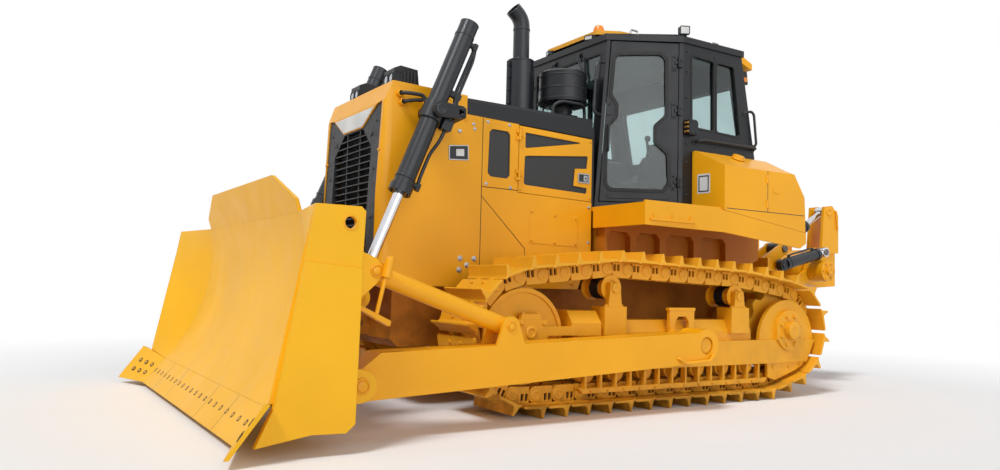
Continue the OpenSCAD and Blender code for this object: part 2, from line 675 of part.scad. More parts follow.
// Blade group
rows = 12;
cols = 4;
function board_pt(i, j, back) =
    let (t = i / rows, z = edge_z + t * (board_z - edge_z), s = j < 2 ? -1 : 1, d = back ? board_t : 0)
    j == 0 || j == 3
        ? [2163 - 215 * t - d, s * outer_y, 306 + t * (board_z - 306)]
        : [face_at(z) - d, s * (edge_y + t * (crease_y - edge_y)), z];
function fi(i, j) = i * cols + j;
function bi(i, j) = (rows + 1) * cols + i * cols + j;
module mouldboard() color(paint) place()
    polyhedron(
        points = [for (b = [false, true]) for (i = [0:rows]) for (j = [0:cols - 1]) board_pt(i, j, b)],
        faces = concat(
            [for (i = [0:rows - 1]) for (j = [0:cols - 2]) each [
                [fi(i, j), fi(i + 1, j), fi(i + 1, j + 1)], [fi(i, j), fi(i + 1, j + 1), fi(i, j + 1)],
                [bi(i, j), bi(i + 1, j + 1), bi(i + 1, j)], [bi(i, j), bi(i, j + 1), bi(i + 1, j + 1)]]],
            [for (j = [0:cols - 2]) each [
                [fi(0, j), fi(0, j + 1), bi(0, j + 1)], [fi(0, j), bi(0, j + 1), bi(0, j)],
                [fi(rows, j + 1), fi(rows, j), bi(rows, j)],
                [fi(rows, j + 1), bi(rows, j), bi(rows, j + 1)]]],
            [for (i = [0:rows - 1]) each [
                [fi(i + 1, 0), fi(i, 0), bi(i, 0)], [fi(i + 1, 0), bi(i, 0), bi(i + 1, 0)],
                [fi(i, 3), fi(i + 1, 3), bi(i + 1, 3)], [fi(i, 3), bi(i + 1, 3), bi(i, 3)]]]));

module spill_plate()
    intersection() {
        plate([[back_at(board_z), board_z], [face_at(board_z), board_z], [face_at(board_z) + 79, blade_top],
               [face_at(board_z) + 54, blade_top]], -crease_y, crease_y);
        cross([[-crease_y, board_z], [crease_y, board_z], [crease_y, board_z + 90],
               [crease_y - 350, blade_top], [350 - crease_y, blade_top], [-crease_y, board_z + 90]],
              face_at(board_z) - 130, face_at(board_z) + 180);
    }

module end_plate()
    difference() {
        plate([[1948, 1417], [2000, 1105], [2140, 300], [2240, 80], [1930, 130], [1727, 125], [1673, 173],
               [1661, 991], [1647, 1390], [1675, 1417]], outer_y, outer_y + 30);
        drum([1740, 1320], 35, outer_y - 1, outer_y + 31);
    }
module end_overlay()
    plate([[2003, 1090], [2140, 300], [2240, 80], [1930, 130], [1727, 125], [1673, 173], [1661, 991],
           [1660, 1060]], outer_y + 29, outer_y + 42);

lip_x = face_at(edge_z) + 175;
edge_t = 32;
module centre_edge()
    plate([[face_at(edge_z), edge_z], [lip_x, 40], [lip_x - edge_t, 40], [back_at(edge_z), edge_z]],
          -edge_y, edge_y);

bit_in = [[face_at(edge_z) + 2, edge_z], [lip_x, 40], [lip_x - edge_t, 40], [back_at(edge_z) + 2, 245]];
bit_out = [[2215, 330], [front_x, 48], [front_x - 30, 48], [2185, 320]];
module end_bit()
    polyhedron(
        points = concat([for (q = bit_in) [q[0], edge_y, q[1]]], [for (q = bit_out) [q[0], tip_y, q[1]]]),
        faces = [[0, 1, 2], [0, 2, 3], [4, 6, 5], [4, 7, 6], [0, 5, 1], [0, 4, 5], [1, 6, 2], [1, 5, 6],
                 [2, 7, 3], [2, 6, 7], [3, 4, 0], [3, 7, 4]]);
module cutting_edge() color(paint) place() {
    centre_edge();
    both() end_bit();
}

rib_zs = [for (i = [3:11]) edge_z + i / rows * (board_z - edge_z)];
rib_gap = 0.2;
ear_in = 50;
ear_t = 25;
module blade_frame() color(paint) place() {
    spill_plate();
    plate([[1700, 200], [back_at(edge_z) - 87, 200], [back_at(edge_z) - 57, 260], [back_at(480) - 15, 480],
           [1700, 480]], -outer_y, outer_y);
    plate([[1560, 1250], [back_at(1250) - 15, 1250], [back_at(1400) - 15, 1400], [1600, 1400]],
          -crease_y + 50, crease_y - 50);
    both() {
        end_plate();
        end_overlay();
        for (y = [300, lift_y - ear_in - ear_t, lift_y + ear_in, 1080])
            plate(concat([for (z = rib_zs) [back_at(z) - rib_gap, z]],
                         [[1600, 1280], [1640, 800], [1700, 470]]), y, y + ear_t);
        // Ears for the lift rods
        for (y = [lift_y - ear_in - ear_t, lift_y + ear_in]) {
            plate([[1700, 1080], [1700, 690], lift_eye - [0, 80], lift_eye + [0, 80]], y, y + ear_t);
            drum(lift_eye, 80, y, y + ear_t);
        }
        // Ears for the push arms
        for (y = [arm_y0 - ear_t, arm_y1]) {
            plate([[1701, 230], [1701, 470], arm_pin + [0, 102], arm_pin - [0, 102]], y, y + ear_t);
            drum(arm_pin, 100, y, y + ear_t);
        }
        // Brackets for the strut and the tilt cylinder
        for (y = [arm_mid - strut_in - ear_t, arm_mid + strut_in])
            plate([[1700, 470], [1750, 470], [1750, 1200], [1640, 1200], strut_front + [0, 80],
                   strut_front - [70, 0], strut_front - [0, 80], [1640, 800]], y, y + ear_t);
    }
}

module push_arm_side() {
    difference() {
        union() {
            plate([trunnion - [0, 135], arm_pin - [0, 98], arm_pin + [0, 98], [1400, 545],
                   trunnion + [0, 108]], arm_y0, arm_y1);
            drum(trunnion, 135, arm_y0, arm_y1);
            drum(arm_pin, 98, arm_y0, arm_y1);
        }
        drum(trunnion, 70 + run_gap, arm_y0 - 1, arm_y1 + 1);
    }
    for (y = [arm_mid - strut_in - ear_t, arm_mid + strut_in]) {
        plate([[320, 570], [560, 560], strut_rear + [70, 0], strut_rear - [70, 0]], y, y + ear_t);
        drum(strut_rear, 70, y, y + ear_t);
    }
}
module push_arms() color(paint) place() both() push_arm_side();

module strut_left() color(paint) place() {
    drum(strut_rear, 65, arm_mid - strut_in, arm_mid + strut_in);
    drum(strut_front, 70, arm_mid - strut_in, arm_mid + strut_in);
    bar(strut_rear, strut_front, 62, arm_mid);
}

module tilt_cylinder() color(dark) place() mirrored() {
    drum(strut_rear, 65, arm_mid - strut_in, arm_mid + strut_in);
    drum(strut_front, 70, arm_mid - strut_in, arm_mid + strut_in);
    bar(strut_rear, strut_rear + 0.62 * (strut_front - strut_rear), 78, arm_mid);
    bar(strut_rear, strut_front, 42, arm_mid);
}

// Lift cylinders, drawn along their own axis from the pivot
module lift_barrels() color(dark) place() both()
    along(lift_pivot, lift_tilt, lift_y) {
        difference() {
            union() {
                translate([0, 0, -800]) cylinder(r = 75, h = 1490);
                translate([0, 0, 630]) cylinder(r = 88, h = 60);
                translate([0, 0, -75]) cylinder(r = 92, h = 150);
            }
            translate([0, 0, -760]) cylinder(r = 46, h = 1390);
            translate([0, 0, 600]) cylinder(r = 40 + run_gap, h = 100);
        }
        for (s = [-1, 1])
            translate([0, s * 104, 0]) rotate([90, 0, 0]) cylinder(r = 38, h = 70, center = true);
    }

module lift_rods() color(steel) place() both()
    along(lift_pivot, lift_tilt, lift_y) {
        translate([0, 0, 250]) cylinder(r = 40, h = lift_len - 250);
        translate([0, 0, lift_len]) rotate([90, 0, 0]) cylinder(r = 68, h = 2 * ear_in - 4, center = true);
    }

// Ripper
module ripper_mount() color(paint) place() {
    plate([[-3250, 880], [-3250, 1330], [-3300, 1330], [-3300, 880]], -755, 755);
    plate([[-3250, 700], [-3250, 881], [-3300, 881], [-3300, 700]], -560, 560);
    both() {
        for (y = [link_y0 - 60, link_y1 + 5]) {
            plate([[-3250, 700], [-3250, 890], [-3320, 890], [-3370, 810], [-3370, 730], [-3320, 690]],
                  y, y + 55);
        }
        drum(link_front, 40, link_y0 - 10, link_y1 + 10);
        for (y = [tilt_y - 110, tilt_y + 75]) {
            difference() {
                union() {
                    plate([[-3299, 1200], [-3299, 1330], tilt_front + [0, 70], tilt_front - [0, 70],
                           [-3400, 1200]],
                          y, y + 30);
                    drum(tilt_front, 70, y, y + 30);
                }
                drum(tilt_front, 36 + run_gap, y - 1, y + 31);
            }
        }
        plate([[-3299, 1180], [-3299, 1320], [rip_lift_base[0], 1330], [rip_lift_base[0], 1190]], 690, 735);
        drum(rip_lift_base, 70, 690, 735);
        drum(rip_lift_base, 32, 734, rip_lift_y - rip_lift_w / 2 - run_gap);
    }
}

module ripper_link() color(paint) place() both() {
    difference() {
        union() {
            plate([link_front + [40, -80], link_rear + [40, -90], link_rear + [-40, 85],
                   link_front + [-40, 75]], link_y0, link_y1);
            drum(link_front, 85, link_y0, link_y1);
            drum(link_rear, 95, link_y0, link_y1);
            plate([link_rear + [90, 20], link_rear + [-90, 20], rip_lift_eye + [-55, 0],
                   rip_lift_eye + [55, 0]], link_y0, link_y1);
            drum(rip_lift_eye, 55, link_y0, link_y1);
        }
        drum(link_front, 40 + run_gap, link_y0 - 1, link_y1 + 1);
        drum(link_rear, 45 + run_gap, link_y0 - 1, link_y1 + 1);
    }
    drum(rip_lift_eye, 30, link_y1 - 1, rip_lift_y - rip_lift_w / 2 - run_gap);
    drum([-3690, 985], 60, -1, link_y0 + 1);
}

module ripper_pins() color(paint) place() {
    drum(link_rear, 45, -900, 900);
    both() drum(link_rear, 115, link_y1 + 8, 880);
}

module ripper_beam() color(paint) place()
    difference() {
        union() {
            drum(link_rear, 150, -620, 620);
            plate([[link_rear[0] - 40, 1075], [-4250, 1040], [-4550, 1060], [-4550, 1440], [-4250, 1460],
                   [link_rear[0] - 40, 1362]], -620, 620);
            both() for (y = [tilt_y - 100, tilt_y + 70]) {
                plate([[-4270, 1410], [-4320, 1940], [-4460, 1960], [rear_x, 1860], [rear_x, 1430]],
                      y, y + 30);
                drum(tilt_rear, 45, y > tilt_y ? tilt_y + 52 : y + 29, y > tilt_y ? y + 1 : tilt_y - 52);
            }
        }
        drum(link_rear, 45 + run_gap, -700, 700);
        box([-4500, -shank_t / 2, 900], [-4310, shank_t / 2, 2000]);
    }

shank_tip = 1050 - shank_len;
module ripper_shank() color(paint) place()
    plate([[-4500, 1640], [-4310, 1640], [-4310, 640], [-4250, shank_tip + 230], [-4130, shank_tip + 40],
           [-4080, shank_tip], [-4180, shank_tip], [-4380, shank_tip + 200], [-4500, 640]],
          -shank_t / 2, shank_t / 2);

tilt_angle = atan2(tilt_rear[0] - tilt_front[0], tilt_rear[1] - tilt_front[1]);
tilt_len = norm(tilt_rear - tilt_front);
module upper_pins() color(dark) place() both() drum(tilt_front, 36, tilt_y - 120, tilt_y + 120);

module tilt_barrels() color(dark) place() both()
    along(tilt_front, tilt_angle, tilt_y)
        difference() {
            union() {
                rotate([90, 0, 0]) cylinder(r = 66, h = 130, center = true);
                cylinder(r = 62, h = 560);
            }
            rotate([90, 0, 0]) cylinder(r = 36 + run_gap, h = 140, center = true);
            translate([0, 0, 100]) cylinder(r = 37, h = 400);
            translate([0, 0, 480]) cylinder(r = 32 + run_gap, h = 100);
        }

module tilt_rods() color(steel) place() both()
    along(tilt_front, tilt_angle, tilt_y) {
        translate([0, 0, 320]) cylinder(r = 32, h = tilt_len - 320);
        translate([0, 0, tilt_len]) rotate([90, 0, 0]) cylinder(r = 56, h = 90, center = true);
    }

rip_lift_angle = atan2(rip_lift_eye[0] - rip_lift_base[0], rip_lift_eye[1] - rip_lift_base[1]);
rip_lift_len = norm(rip_lift_eye - rip_lift_base);
module rip_lift_barrels() color(dark) place() both()
    along(rip_lift_base, rip_lift_angle, rip_lift_y)
        difference() {
            union() {
                rotate([90, 0, 0]) cylinder(r = 60, h = rip_lift_w, center = true);
                translate([0, 0, 45]) cylinder(r = 58, h = 545);
            }
            translate([0, 0, 75]) cylinder(r = 36, h = 455);
            translate([0, 0, 520]) cylinder(r = 31 + run_gap, h = 100);
        }

module rip_lift_rods() color(steel) place() both()
    along(rip_lift_base, rip_lift_angle, rip_lift_y) {
        translate([0, 0, 90]) cylinder(r = 31, h = rip_lift_len - 90);
        translate([0, 0, rip_lift_len]) rotate([90, 0, 0]) cylinder(r = 52, h = rip_lift_w, center = true);
    }

track_left();
track_right();
track_frames();
idlers();
sprockets();
rollers();
main_frame();
engine_block();
radiator_cowl();
grille();
hood();
side_panels();
engine_door_left();
engine_door_right();
exhaust_stack();
precleaner();
deck();
tanks();
cab_floor();
cab_front();
cab_side_left();
cab_side_right();
cab_rear();
cab_roof();
cab_glass();
cab_door_left();
cab_door_right();
door_glass_left();
door_glass_right();
seat();
console();
lamps();
lift_yokes();
mouldboard();
cutting_edge();
blade_frame();
push_arms();
strut_left();
tilt_cylinder();
lift_barrels();
lift_rods();
ripper_mount();
ripper_link();
ripper_pins();
ripper_beam();
ripper_shank();
upper_pins();
tilt_barrels();
tilt_rods();
rip_lift_barrels();
rip_lift_rods();
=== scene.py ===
import bpy, bmesh, math
from mathutils import Matrix, Vector


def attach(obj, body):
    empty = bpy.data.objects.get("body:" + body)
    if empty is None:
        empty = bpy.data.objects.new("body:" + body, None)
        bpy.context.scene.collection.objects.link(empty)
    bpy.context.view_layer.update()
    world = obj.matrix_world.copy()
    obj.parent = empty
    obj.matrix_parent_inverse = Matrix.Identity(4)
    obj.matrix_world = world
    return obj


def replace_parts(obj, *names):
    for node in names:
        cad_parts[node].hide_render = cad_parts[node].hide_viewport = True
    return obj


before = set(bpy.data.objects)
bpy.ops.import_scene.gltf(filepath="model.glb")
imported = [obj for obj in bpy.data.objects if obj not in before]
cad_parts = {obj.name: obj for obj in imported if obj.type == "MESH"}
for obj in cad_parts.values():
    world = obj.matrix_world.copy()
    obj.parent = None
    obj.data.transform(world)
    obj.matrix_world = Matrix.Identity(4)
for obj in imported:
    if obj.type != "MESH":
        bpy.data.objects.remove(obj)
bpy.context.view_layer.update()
scene = bpy.context.scene
MID = -1075.0  # the scene's origin along x, in the millimetres used below
X, Y, Z = (1, 0, 0), (0, 1, 0), (0, 0, 1)


# Places and outlines, in millimetres counted from the front of the tracks' contact with the ground

def P(x, y, z):
    """The same place in the scene, in metres."""
    return Vector(((x - MID) / 1000, y / 1000, z / 1000))


def plane_at(origin, u, v):
    """A flat place on the machine: (a, b, w) is a along u, b along v and w outwards."""
    o, u, v = Vector(origin), Vector(u).normalized(), Vector(v).normalized()
    n = u.cross(v).normalized()
    return lambda a, b, w: P(*(o + a * u + b * v + w * n))


def side_plane(y):
    """The plane of a side wall at y, with a = x and b = z, facing outwards."""
    return lambda a, b, w: P(a, y + (w if y > 0 else -w), b)


def front_plane(x, lean=0.0, z=0.0, facing=1):
    """A plane across the machine, with a = y and b = z: at x where b is z, and leaning by lean above that."""
    return lambda a, b, w: P(x + lean * (b - z) + facing * w, a, b)


def top_plane(z):
    """A level plane, with a = x and b = y."""
    return lambda a, b, w: P(a, b, z + w)


def across(a, b, w):
    """The middle plane of the machine, with a = x, b = z and w = y."""
    return P(a, w, b)


def arc(x, z, r, angles):
    return [(x + r * math.cos(a), z + r * math.sin(a)) for a in angles]


def turns(n, start=0.0):
    """Angles of n places evenly round a circle."""
    return [start + 2 * math.pi * k / n for k in range(n)]


def bend(start, corner, end, n):
    """Points of the curve that rounds off a corner."""
    return [(1 - t) ** 2 * start + 2 * t * (1 - t) * corner + t ** 2 * end
            for t in [k / n for k in range(n + 1)]]


def rounded(pts, r, n=5):
    """The outline with its corners rounded; r is one radius or one for each corner."""
    out = []
    for i, p in enumerate(pts):
        radius = r[i] if isinstance(r, (list, tuple)) else r
        p = Vector(p)
        a, b = Vector(pts[i - 1]) - p, Vector(pts[(i + 1) % len(pts)]) - p
        la, lb = a.length, b.length
        a.normalize()
        b.normalize()
        turn = math.acos(max(-1, min(1, a.dot(b))))
        if radius <= 0 or turn > math.pi - 0.02:
            out.append(p)
            continue
        cut = min(radius / math.tan(turn / 2), la * 0.49, lb * 0.49)
        out += bend(p + a * cut, p, p + b * cut, n)
    return [(q[0], q[1]) for q in out]


def rect(a0, b0, a1, b1, r=0, n=5):
    """A rectangle between two corners, rounded by r."""
    return rounded([(a0, b0), (a1, b0), (a1, b1), (a0, b1)], r, n)


def offset(pts, d):
    """The outline moved outwards by d."""
    area = sum(pts[i - 1][0] * pts[i][1] - pts[i][0] * pts[i - 1][1] for i in range(len(pts)))
    s = 1 if area > 0 else -1
    out = []
    for i in range(len(pts)):
        p0, p1, p2 = Vector(pts[i - 1]), Vector(pts[i]), Vector(pts[(i + 1) % len(pts)])
        d1, d2 = (p1 - p0).normalized(), (p2 - p1).normalized()
        n1, n2 = Vector((d1.y, -d1.x)) * s, Vector((d2.y, -d2.x)) * s
        m = n1 + n2
        m = m / max(0.3, m.length_squared) * 2 if m.length > 1e-6 else n1
        out.append(tuple(p1 + m * d))
    return out


def smooth_path(pts, r, n=6):
    """A run of points with its inner corners rounded to radius r."""
    pts = [Vector(p) for p in pts]
    out = [pts[0]]
    for before, p, after in zip(pts, pts[1:], pts[2:]):
        a, b = before - p, after - p
        cut = min(r, a.length * 0.49, b.length * 0.49)
        out += bend(p + a.normalized() * cut, p, p + b.normalized() * cut, n)
    return out + [pts[-1]]


def dish(depths, radii):
    """The profile of a round cap with a sunk middle, for a turned part."""
    (d1, d2, d3), (r1, r2, r3, r4) = depths, radii
    return [(0, r1), (d1, r1), (d2, r2), (d2, r3), (d3, r4), (d3, 0)]


def headings(pts):
    """The way a run of points goes at each of them."""
    return [(b - a).normalized() for a, b in zip(pts[:1] + pts, pts[1:] + pts[-1:])]


class Shape:
    """One piece's mesh, put together from plates, rings, tubes and bolts."""

    def __init__(self):
        self.bm = bmesh.new()

    def face(self, verts):
        """A face, unless it is there already."""
        try:
            self.bm.faces.new(verts)
        except ValueError:
            pass

    def loop(self, places):
        return [self.bm.verts.new(p) for p in places]

    def circle(self, centre, u, v, r, n):
        return self.loop(P(*(centre + r * (math.cos(t) * u + math.sin(t) * v))) for t in turns(n))

    def bridge(self, lo, hi):
        """Faces between two loops of as many points."""
        for i in range(len(lo)):
            j = (i + 1) % len(lo)
            self.face([lo[i], lo[j], hi[j], hi[i]])

    def skin(self, loops):
        """A closed skin over a row of loops."""
        self.face(loops[0][::-1])
        self.face(loops[-1])
        for lo, hi in zip(loops, loops[1:]):
            self.bridge(lo, hi)
        return self

    def plate(self, at, outline, w0, w1, holes=()):
        """A plate in the plane at, from depth w0 to w1, with holes through it."""
        if not holes:
            return self.skin([self.loop(at(a, b, w) for a, b in outline) for w in (w0, w1)])
        levels = []
        for w in (w0, w1):
            edges, level = [], []
            for line in (outline, *holes):
                vs = self.loop(at(a, b, w) for a, b in line)
                edges += [self.bm.edges.new((vs[i - 1], vs[i])) for i in range(len(vs))]
                level.append(vs)
            bmesh.ops.triangle_fill(self.bm, use_beauty=True, use_dissolve=True, edges=edges)
            levels.append(level)
        for lo, hi in zip(*levels):
            self.bridge(lo, hi)
        return self

    def slab(self, at, pts, r, w0, w1):
        """A plate whose corners are rounded by r."""
        return self.plate(at, rounded(pts, r), w0, w1)

    def rim(self, at, outer, inner, w0, w1):
        """A flat frame between two outlines of as many points, from depth w0 to w1."""
        rings = [self.loop(at(a, b, w) for a, b in line)
                 for line, w in ((outer, w0), (outer, w1), (inner, w1), (inner, w0))]
        for k in range(4):
            self.bridge(rings[k - 1], rings[k])
        return self

    def box(self, lo, hi):
        return self.plate(P, rect(lo[0], lo[1], hi[0], hi[1]), lo[2], hi[2])

    def turned(self, start, along, profile, n=24, closed=False):
        """A turned part: profile holds (distance along the axis, radius), and closed joins its ends."""
        axis = Vector(along).normalized()
        u = axis.orthogonal().normalized()
        v = axis.cross(u)
        rings = []
        for d, r in profile:
            centre = Vector(start) + axis * d
            rings.append(self.circle(centre, u, v, r, n) if r > 0.001 else self.loop([P(*centre)]))
        if closed:
            rings.append(rings[0])
        for a, b in zip(rings, rings[1:]):
            for k in range(n):
                m = (k + 1) % n
                if len(a) == 1:
                    self.face([a[0], b[k], b[m]])
                elif len(b) == 1:
                    self.face([b[0], a[m], a[k]])
                else:
                    self.face([a[k], b[k], b[m], a[m]])
        if not closed:
            for end in (rings[0], rings[-1][::-1]):
                if len(end) > 1:
                    self.face(end)
        return self

    def rod(self, p, q, r, n=20):
        """A round bar between two points, with its edges broken."""
        along = Vector(q) - Vector(p)
        d = along.length
        e = min(2.0, r * 0.4, d * 0.3)
        return self.turned(p, along, [(0, r - e), (e, r), (d - e, r), (d, r - e)], n)

    def ring(self, p, q, r_out, r_in, n=32):
        """A round band between two points, open in the middle."""
        along = Vector(q) - Vector(p)
        d = along.length
        e = min(2.0, d * 0.2)
        profile = [(0, r_in), (0, r_out - e), (e, r_out), (d - e, r_out), (d, r_out - e), (d, r_in)]
        return self.turned(p, along, profile, n, True)

    def tube(self, path, r, n=10):
        """A round bar along a run of points."""
        pts = [Vector(p) for p in path]
        rings, u = [], None
        for p, t in zip(pts, headings(pts)):
            u = t.orthogonal().normalized() if u is None else (u - t * u.dot(t)).normalized()
            rings.append(self.circle(p, u, t.cross(u), r, n))
        return self.skin(rings)

    def pipe(self, path, curve, r):
        """A tube of radius r whose corners are rounded to radius curve."""
        return self.tube(smooth_path(path, curve), r)

    def bolt(self, at, normal, r=14, h=10, washer=True):
        """A hexagon bolt head on a washer."""
        nrm = Vector(normal).normalized()
        if washer:
            self.turned(at, nrm, [(0, r * 1.45), (r * 0.18, r * 1.45), (r * 0.22, r * 1.3)], 14)
        self.turned(Vector(at) + nrm * (r * 0.2 if washer else 0), nrm,
                    [(0, r), (h * 0.85, r), (h, r * 0.8)], 6)
        return self

    def side_bolts(self, y, places, r, h):
        """Bolts on a left side wall at y, one at each (x, z)."""
        for x, z in places:
            self.bolt((x, y, z), Y, r, h)

    def strip(self, path, normal, width, height):
        """A flat bar laid along a run of points."""
        pts = [Vector(p) for p in path]
        nrm = Vector(normal).normalized()
        rings = []
        for p, t in zip(pts, headings(pts)):
            s = t.cross(nrm).normalized() * width / 2
            corners = (p - s, p + s, p + s + nrm * height, p - s + nrm * height)
            rings.append(self.loop(P(*q) for q in corners))
        return self.skin(rings)

    def both(self):
        """Adds the same shape on the other side of the machine."""
        geom = self.bm.verts[:] + self.bm.edges[:] + self.bm.faces[:]
        new = bmesh.ops.duplicate(self.bm, geom=geom)["geom"]
        verts = [v for v in new if isinstance(v, bmesh.types.BMVert)]
        bmesh.ops.scale(self.bm, vec=(1, -1, 1), verts=verts)
        bmesh.ops.reverse_faces(self.bm, faces=[f for f in new if isinstance(f, bmesh.types.BMFace)])
        return self

    def done(self, name, mat, body="base", bevel=0.0, smooth=35):
        """The finished piece, riding on body."""
        bmesh.ops.recalc_face_normals(self.bm, faces=self.bm.faces[:])
        mesh = bpy.data.meshes.new(name)
        self.bm.to_mesh(mesh)
        self.bm.free()
        mesh.shade_smooth()
        mesh.set_sharp_from_angle(angle=math.radians(smooth))
        mesh.materials.append(mat)
        obj = bpy.data.objects.new(name, mesh)
        scene.collection.objects.link(obj)
        if bevel:
            mod = obj.modifiers.new("edges", "BEVEL")
            mod.width = bevel / 1000
            mod.segments = 2
            mod.limit_method = "ANGLE"
            mod.angle_limit = math.radians(40)
            mod.use_clamp_overlap = True
        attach(obj, body)
        return obj


def shapes(n):
    return [Shape() for _ in range(n)]


# Materials

def srgb(r, g, b):
    f = lambda c: (c / 255 / 12.92) if c <= 10.3 else ((c / 255 + 0.055) / 1.055) ** 2.4
    return (f(r), f(g), f(b), 1.0)


def tone(c, k):
    return (c[0] * k, c[1] * k, c[2] * k, 1.0)


class Tree:
    """A node tree, with short calls for the nodes used here."""

    def __init__(self, tree):
        self.t = tree

    def put(self, value, socket):
        """A number, a colour or another node's output, into an input."""
        if isinstance(value, bpy.types.NodeSocket):
            self.t.links.new(value, socket)
        else:
            socket.default_value = value

    def add(self, kind, inputs, **settings):
        n = self.t.nodes.new(kind)
        for key, value in settings.items():
            setattr(n, key, value)
        for key, value in inputs.items():
            self.put(value, n.inputs[key])
        return n

    def math(self, op, a, b):
        return self.add("ShaderNodeMath", {0: a, 1: b}, operation=op).outputs[0]

    def seen(self):
        """1 for what the camera sees straight, mirrored or through glass, and 0 for light on other things."""
        path = self.add("ShaderNodeLightPath", {}).outputs
        return self.math("MAXIMUM", path["Is Camera Ray"],
                         self.math("MAXIMUM", path["Is Glossy Ray"], path["Is Transmission Ray"]))


class Nodes(Tree):
    """The node tree of a new material."""

    def __init__(self, name):
        self.mat = bpy.data.materials.new(name)
        self.mat.use_nodes = True
        super().__init__(self.mat.node_tree)
        self.bsdf = self.t.nodes["Principled BSDF"]
        self.coord = self.add("ShaderNodeTexCoord", {}).outputs["Object"]

    def noise(self, scale, detail=3.0, rough=0.5):
        return self.add("ShaderNodeTexNoise", {"Vector": self.coord, "Scale": scale, "Detail": detail,
                                               "Roughness": rough}).outputs["Fac"]

    def ramp(self, fac, lo, hi, a=0.0, b=1.0):
        return self.add("ShaderNodeMapRange", {"Value": fac, "From Min": lo, "From Max": hi, "To Min": a,
                                               "To Max": b}).outputs["Result"]

    def drift(self, scale, detail, a=0.0, b=1.0):
        """Soft patches between a and b."""
        return self.ramp(self.noise(scale, detail), 0.3, 0.7, a, b)

    def cells(self, scale, **settings):
        inputs = {"Vector": self.coord, "Scale": scale, "Randomness": settings.pop("spread", 1.0)}
        return self.add("ShaderNodeTexVoronoi", inputs, **settings).outputs["Distance"]

    def mix(self, fac, a, b):
        return self.add("ShaderNodeMix", {"Factor": fac, 6: a, 7: b}, data_type="RGBA").outputs[2]

    def axis(self, name):
        return self.add("ShaderNodeSeparateXYZ", {0: self.coord}).outputs[name]

    def bump(self, height, strength, distance, edge=0.0):
        inputs = {"Strength": strength, "Distance": distance, "Height": height}
        if edge:
            inputs["Normal"] = self.add("ShaderNodeBevel", {"Radius": edge}, samples=4).outputs[0]
        self.set(Normal=self.add("ShaderNodeBump", inputs).outputs[0])

    def set(self, **values):
        for key, value in values.items():
            self.put(value, self.bsdf.inputs[key.replace("_", " ")])


PAINT_SHINE = dict(Coat_Roughness=0.12, Specular_IOR_Level=0.35)


def paint(name, colour, rough=0.38, coat=0.08, edge=0.006, dust_and_shade=None, vary=0.07):
    """Sprayed paint: soft colour drift, orange-peel bump, uneven gloss, and, if asked, a darker colour towards
    the ground: dust on the undercarriage and tracks, painted shade on the hull.
    """
    m = Nodes(name)
    base = m.mix(m.drift(1.3, 4), tone(colour, 1 - vary), tone(colour, 1 + vary * 0.6))
    specks = m.ramp(m.noise(38, 5, 0.65), 0.66, 0.74)
    base = m.mix(m.math("MULTIPLY", specks, 0.22), base, tone(colour, 0.62))
    gloss = m.ramp(m.noise(6, 5, 0.6), 0.25, 0.75, rough - 0.07, rough + 0.1)
    # Darker towards the ground: dust on the undercarriage and tracks, painted shade under the deck on the hull
    if dust_and_shade:
        dust_and_shade_colour, low, high, most = dust_and_shade
        height = m.ramp(m.axis("Z"), low, high, 1.0, 0.0)
        cloud = m.ramp(m.noise(5, 6, 0.62), 0.35, 0.65)
        amount = m.math("MULTIPLY", m.math("MULTIPLY", height, cloud), most)
        base = m.mix(amount, base, dust_and_shade_colour)
        gloss = m.math("MINIMUM", m.math("ADD", gloss, m.math("MULTIPLY", amount, 0.5)), 0.9)
    m.set(Base_Color=base, Roughness=gloss, Coat_Weight=coat, **PAINT_SHINE)
    m.bump(m.noise(260, 2), 0.06, 0.002, edge)
    return m.mat


def roof_material():
    """Dark roof with its front and rear visors in the yellow of the body."""
    m = Nodes("roof_paint")
    front = m.ramp(m.axis("Z"), 3.3725, 3.3735)
    rear = m.ramp(m.axis("X"), P(-2631, 0, 0).x, P(-2634, 0, 0).x)
    drift = m.drift(1.3, 4)
    body = m.mix(drift, tone(CHARCOAL, 0.9), tone(CHARCOAL, 1.05))
    visors = m.mix(drift, tone(YELLOW, 0.93), tone(YELLOW, 1.04))
    m.set(Base_Color=m.mix(m.math("MAXIMUM", front, rear), body, visors),
          Roughness=m.ramp(m.noise(6, 5), 0.25, 0.75, 0.28, 0.44), Coat_Weight=0.06, **PAINT_SHINE)
    m.bump(m.noise(260, 2), 0.06, 0.002, 0.008)
    return m.mat


def plastic(name, colour, rough, scale=320, strength=0.15):
    """Moulded plastic or rubber with a fine grain."""
    m = Nodes(name)
    m.set(Base_Color=m.mix(m.drift(4, 4), tone(colour, 0.82), tone(colour, 1.15)),
          Roughness=m.drift(20, 4, rough - 0.06, rough + 0.08))
    m.bump(m.noise(scale, 3), strength, 0.001, 0.003)
    return m.mat


def metal(name, colour, rough, grain=140):
    """Bare metal with a fine grain."""
    m = Nodes(name)
    base = m.mix(m.drift(9, 5), tone(colour, 0.86), tone(colour, 1.06))
    marks = m.noise(grain, 3)
    m.set(Base_Color=base, Roughness=m.ramp(marks, 0.3, 0.7, rough - 0.04, rough + 0.06), Metallic=1.0)
    m.bump(marks, 0.03, 0.0008, 0.002)
    return m.mat


def glass_material(name, tint):
    m = Nodes(name)
    m.set(Base_Color=m.mix(m.drift(2.0, 2), tint, tone(tint, 0.92)),
          Roughness=m.drift(3, 3, 0.01, 0.04), Transmission_Weight=1.0, IOR=1.45)
    m.bump(m.noise(1.6, 1), 0.015, 0.004)
    return m.mat


def mesh_screen(name):
    """Dark perforated sheet: rows of small holes, seen as darker dots with a shallow bump."""
    m = Nodes(name)
    hole = m.ramp(m.cells(130, spread=0.0, feature="F1"), 0.28, 0.42)
    m.set(Base_Color=m.mix(hole, srgb(8, 9, 9), srgb(34, 35, 35)), Roughness=m.ramp(hole, 0, 1, 0.8, 0.45))
    m.bump(hole, 0.6, 0.002)
    return m.mat


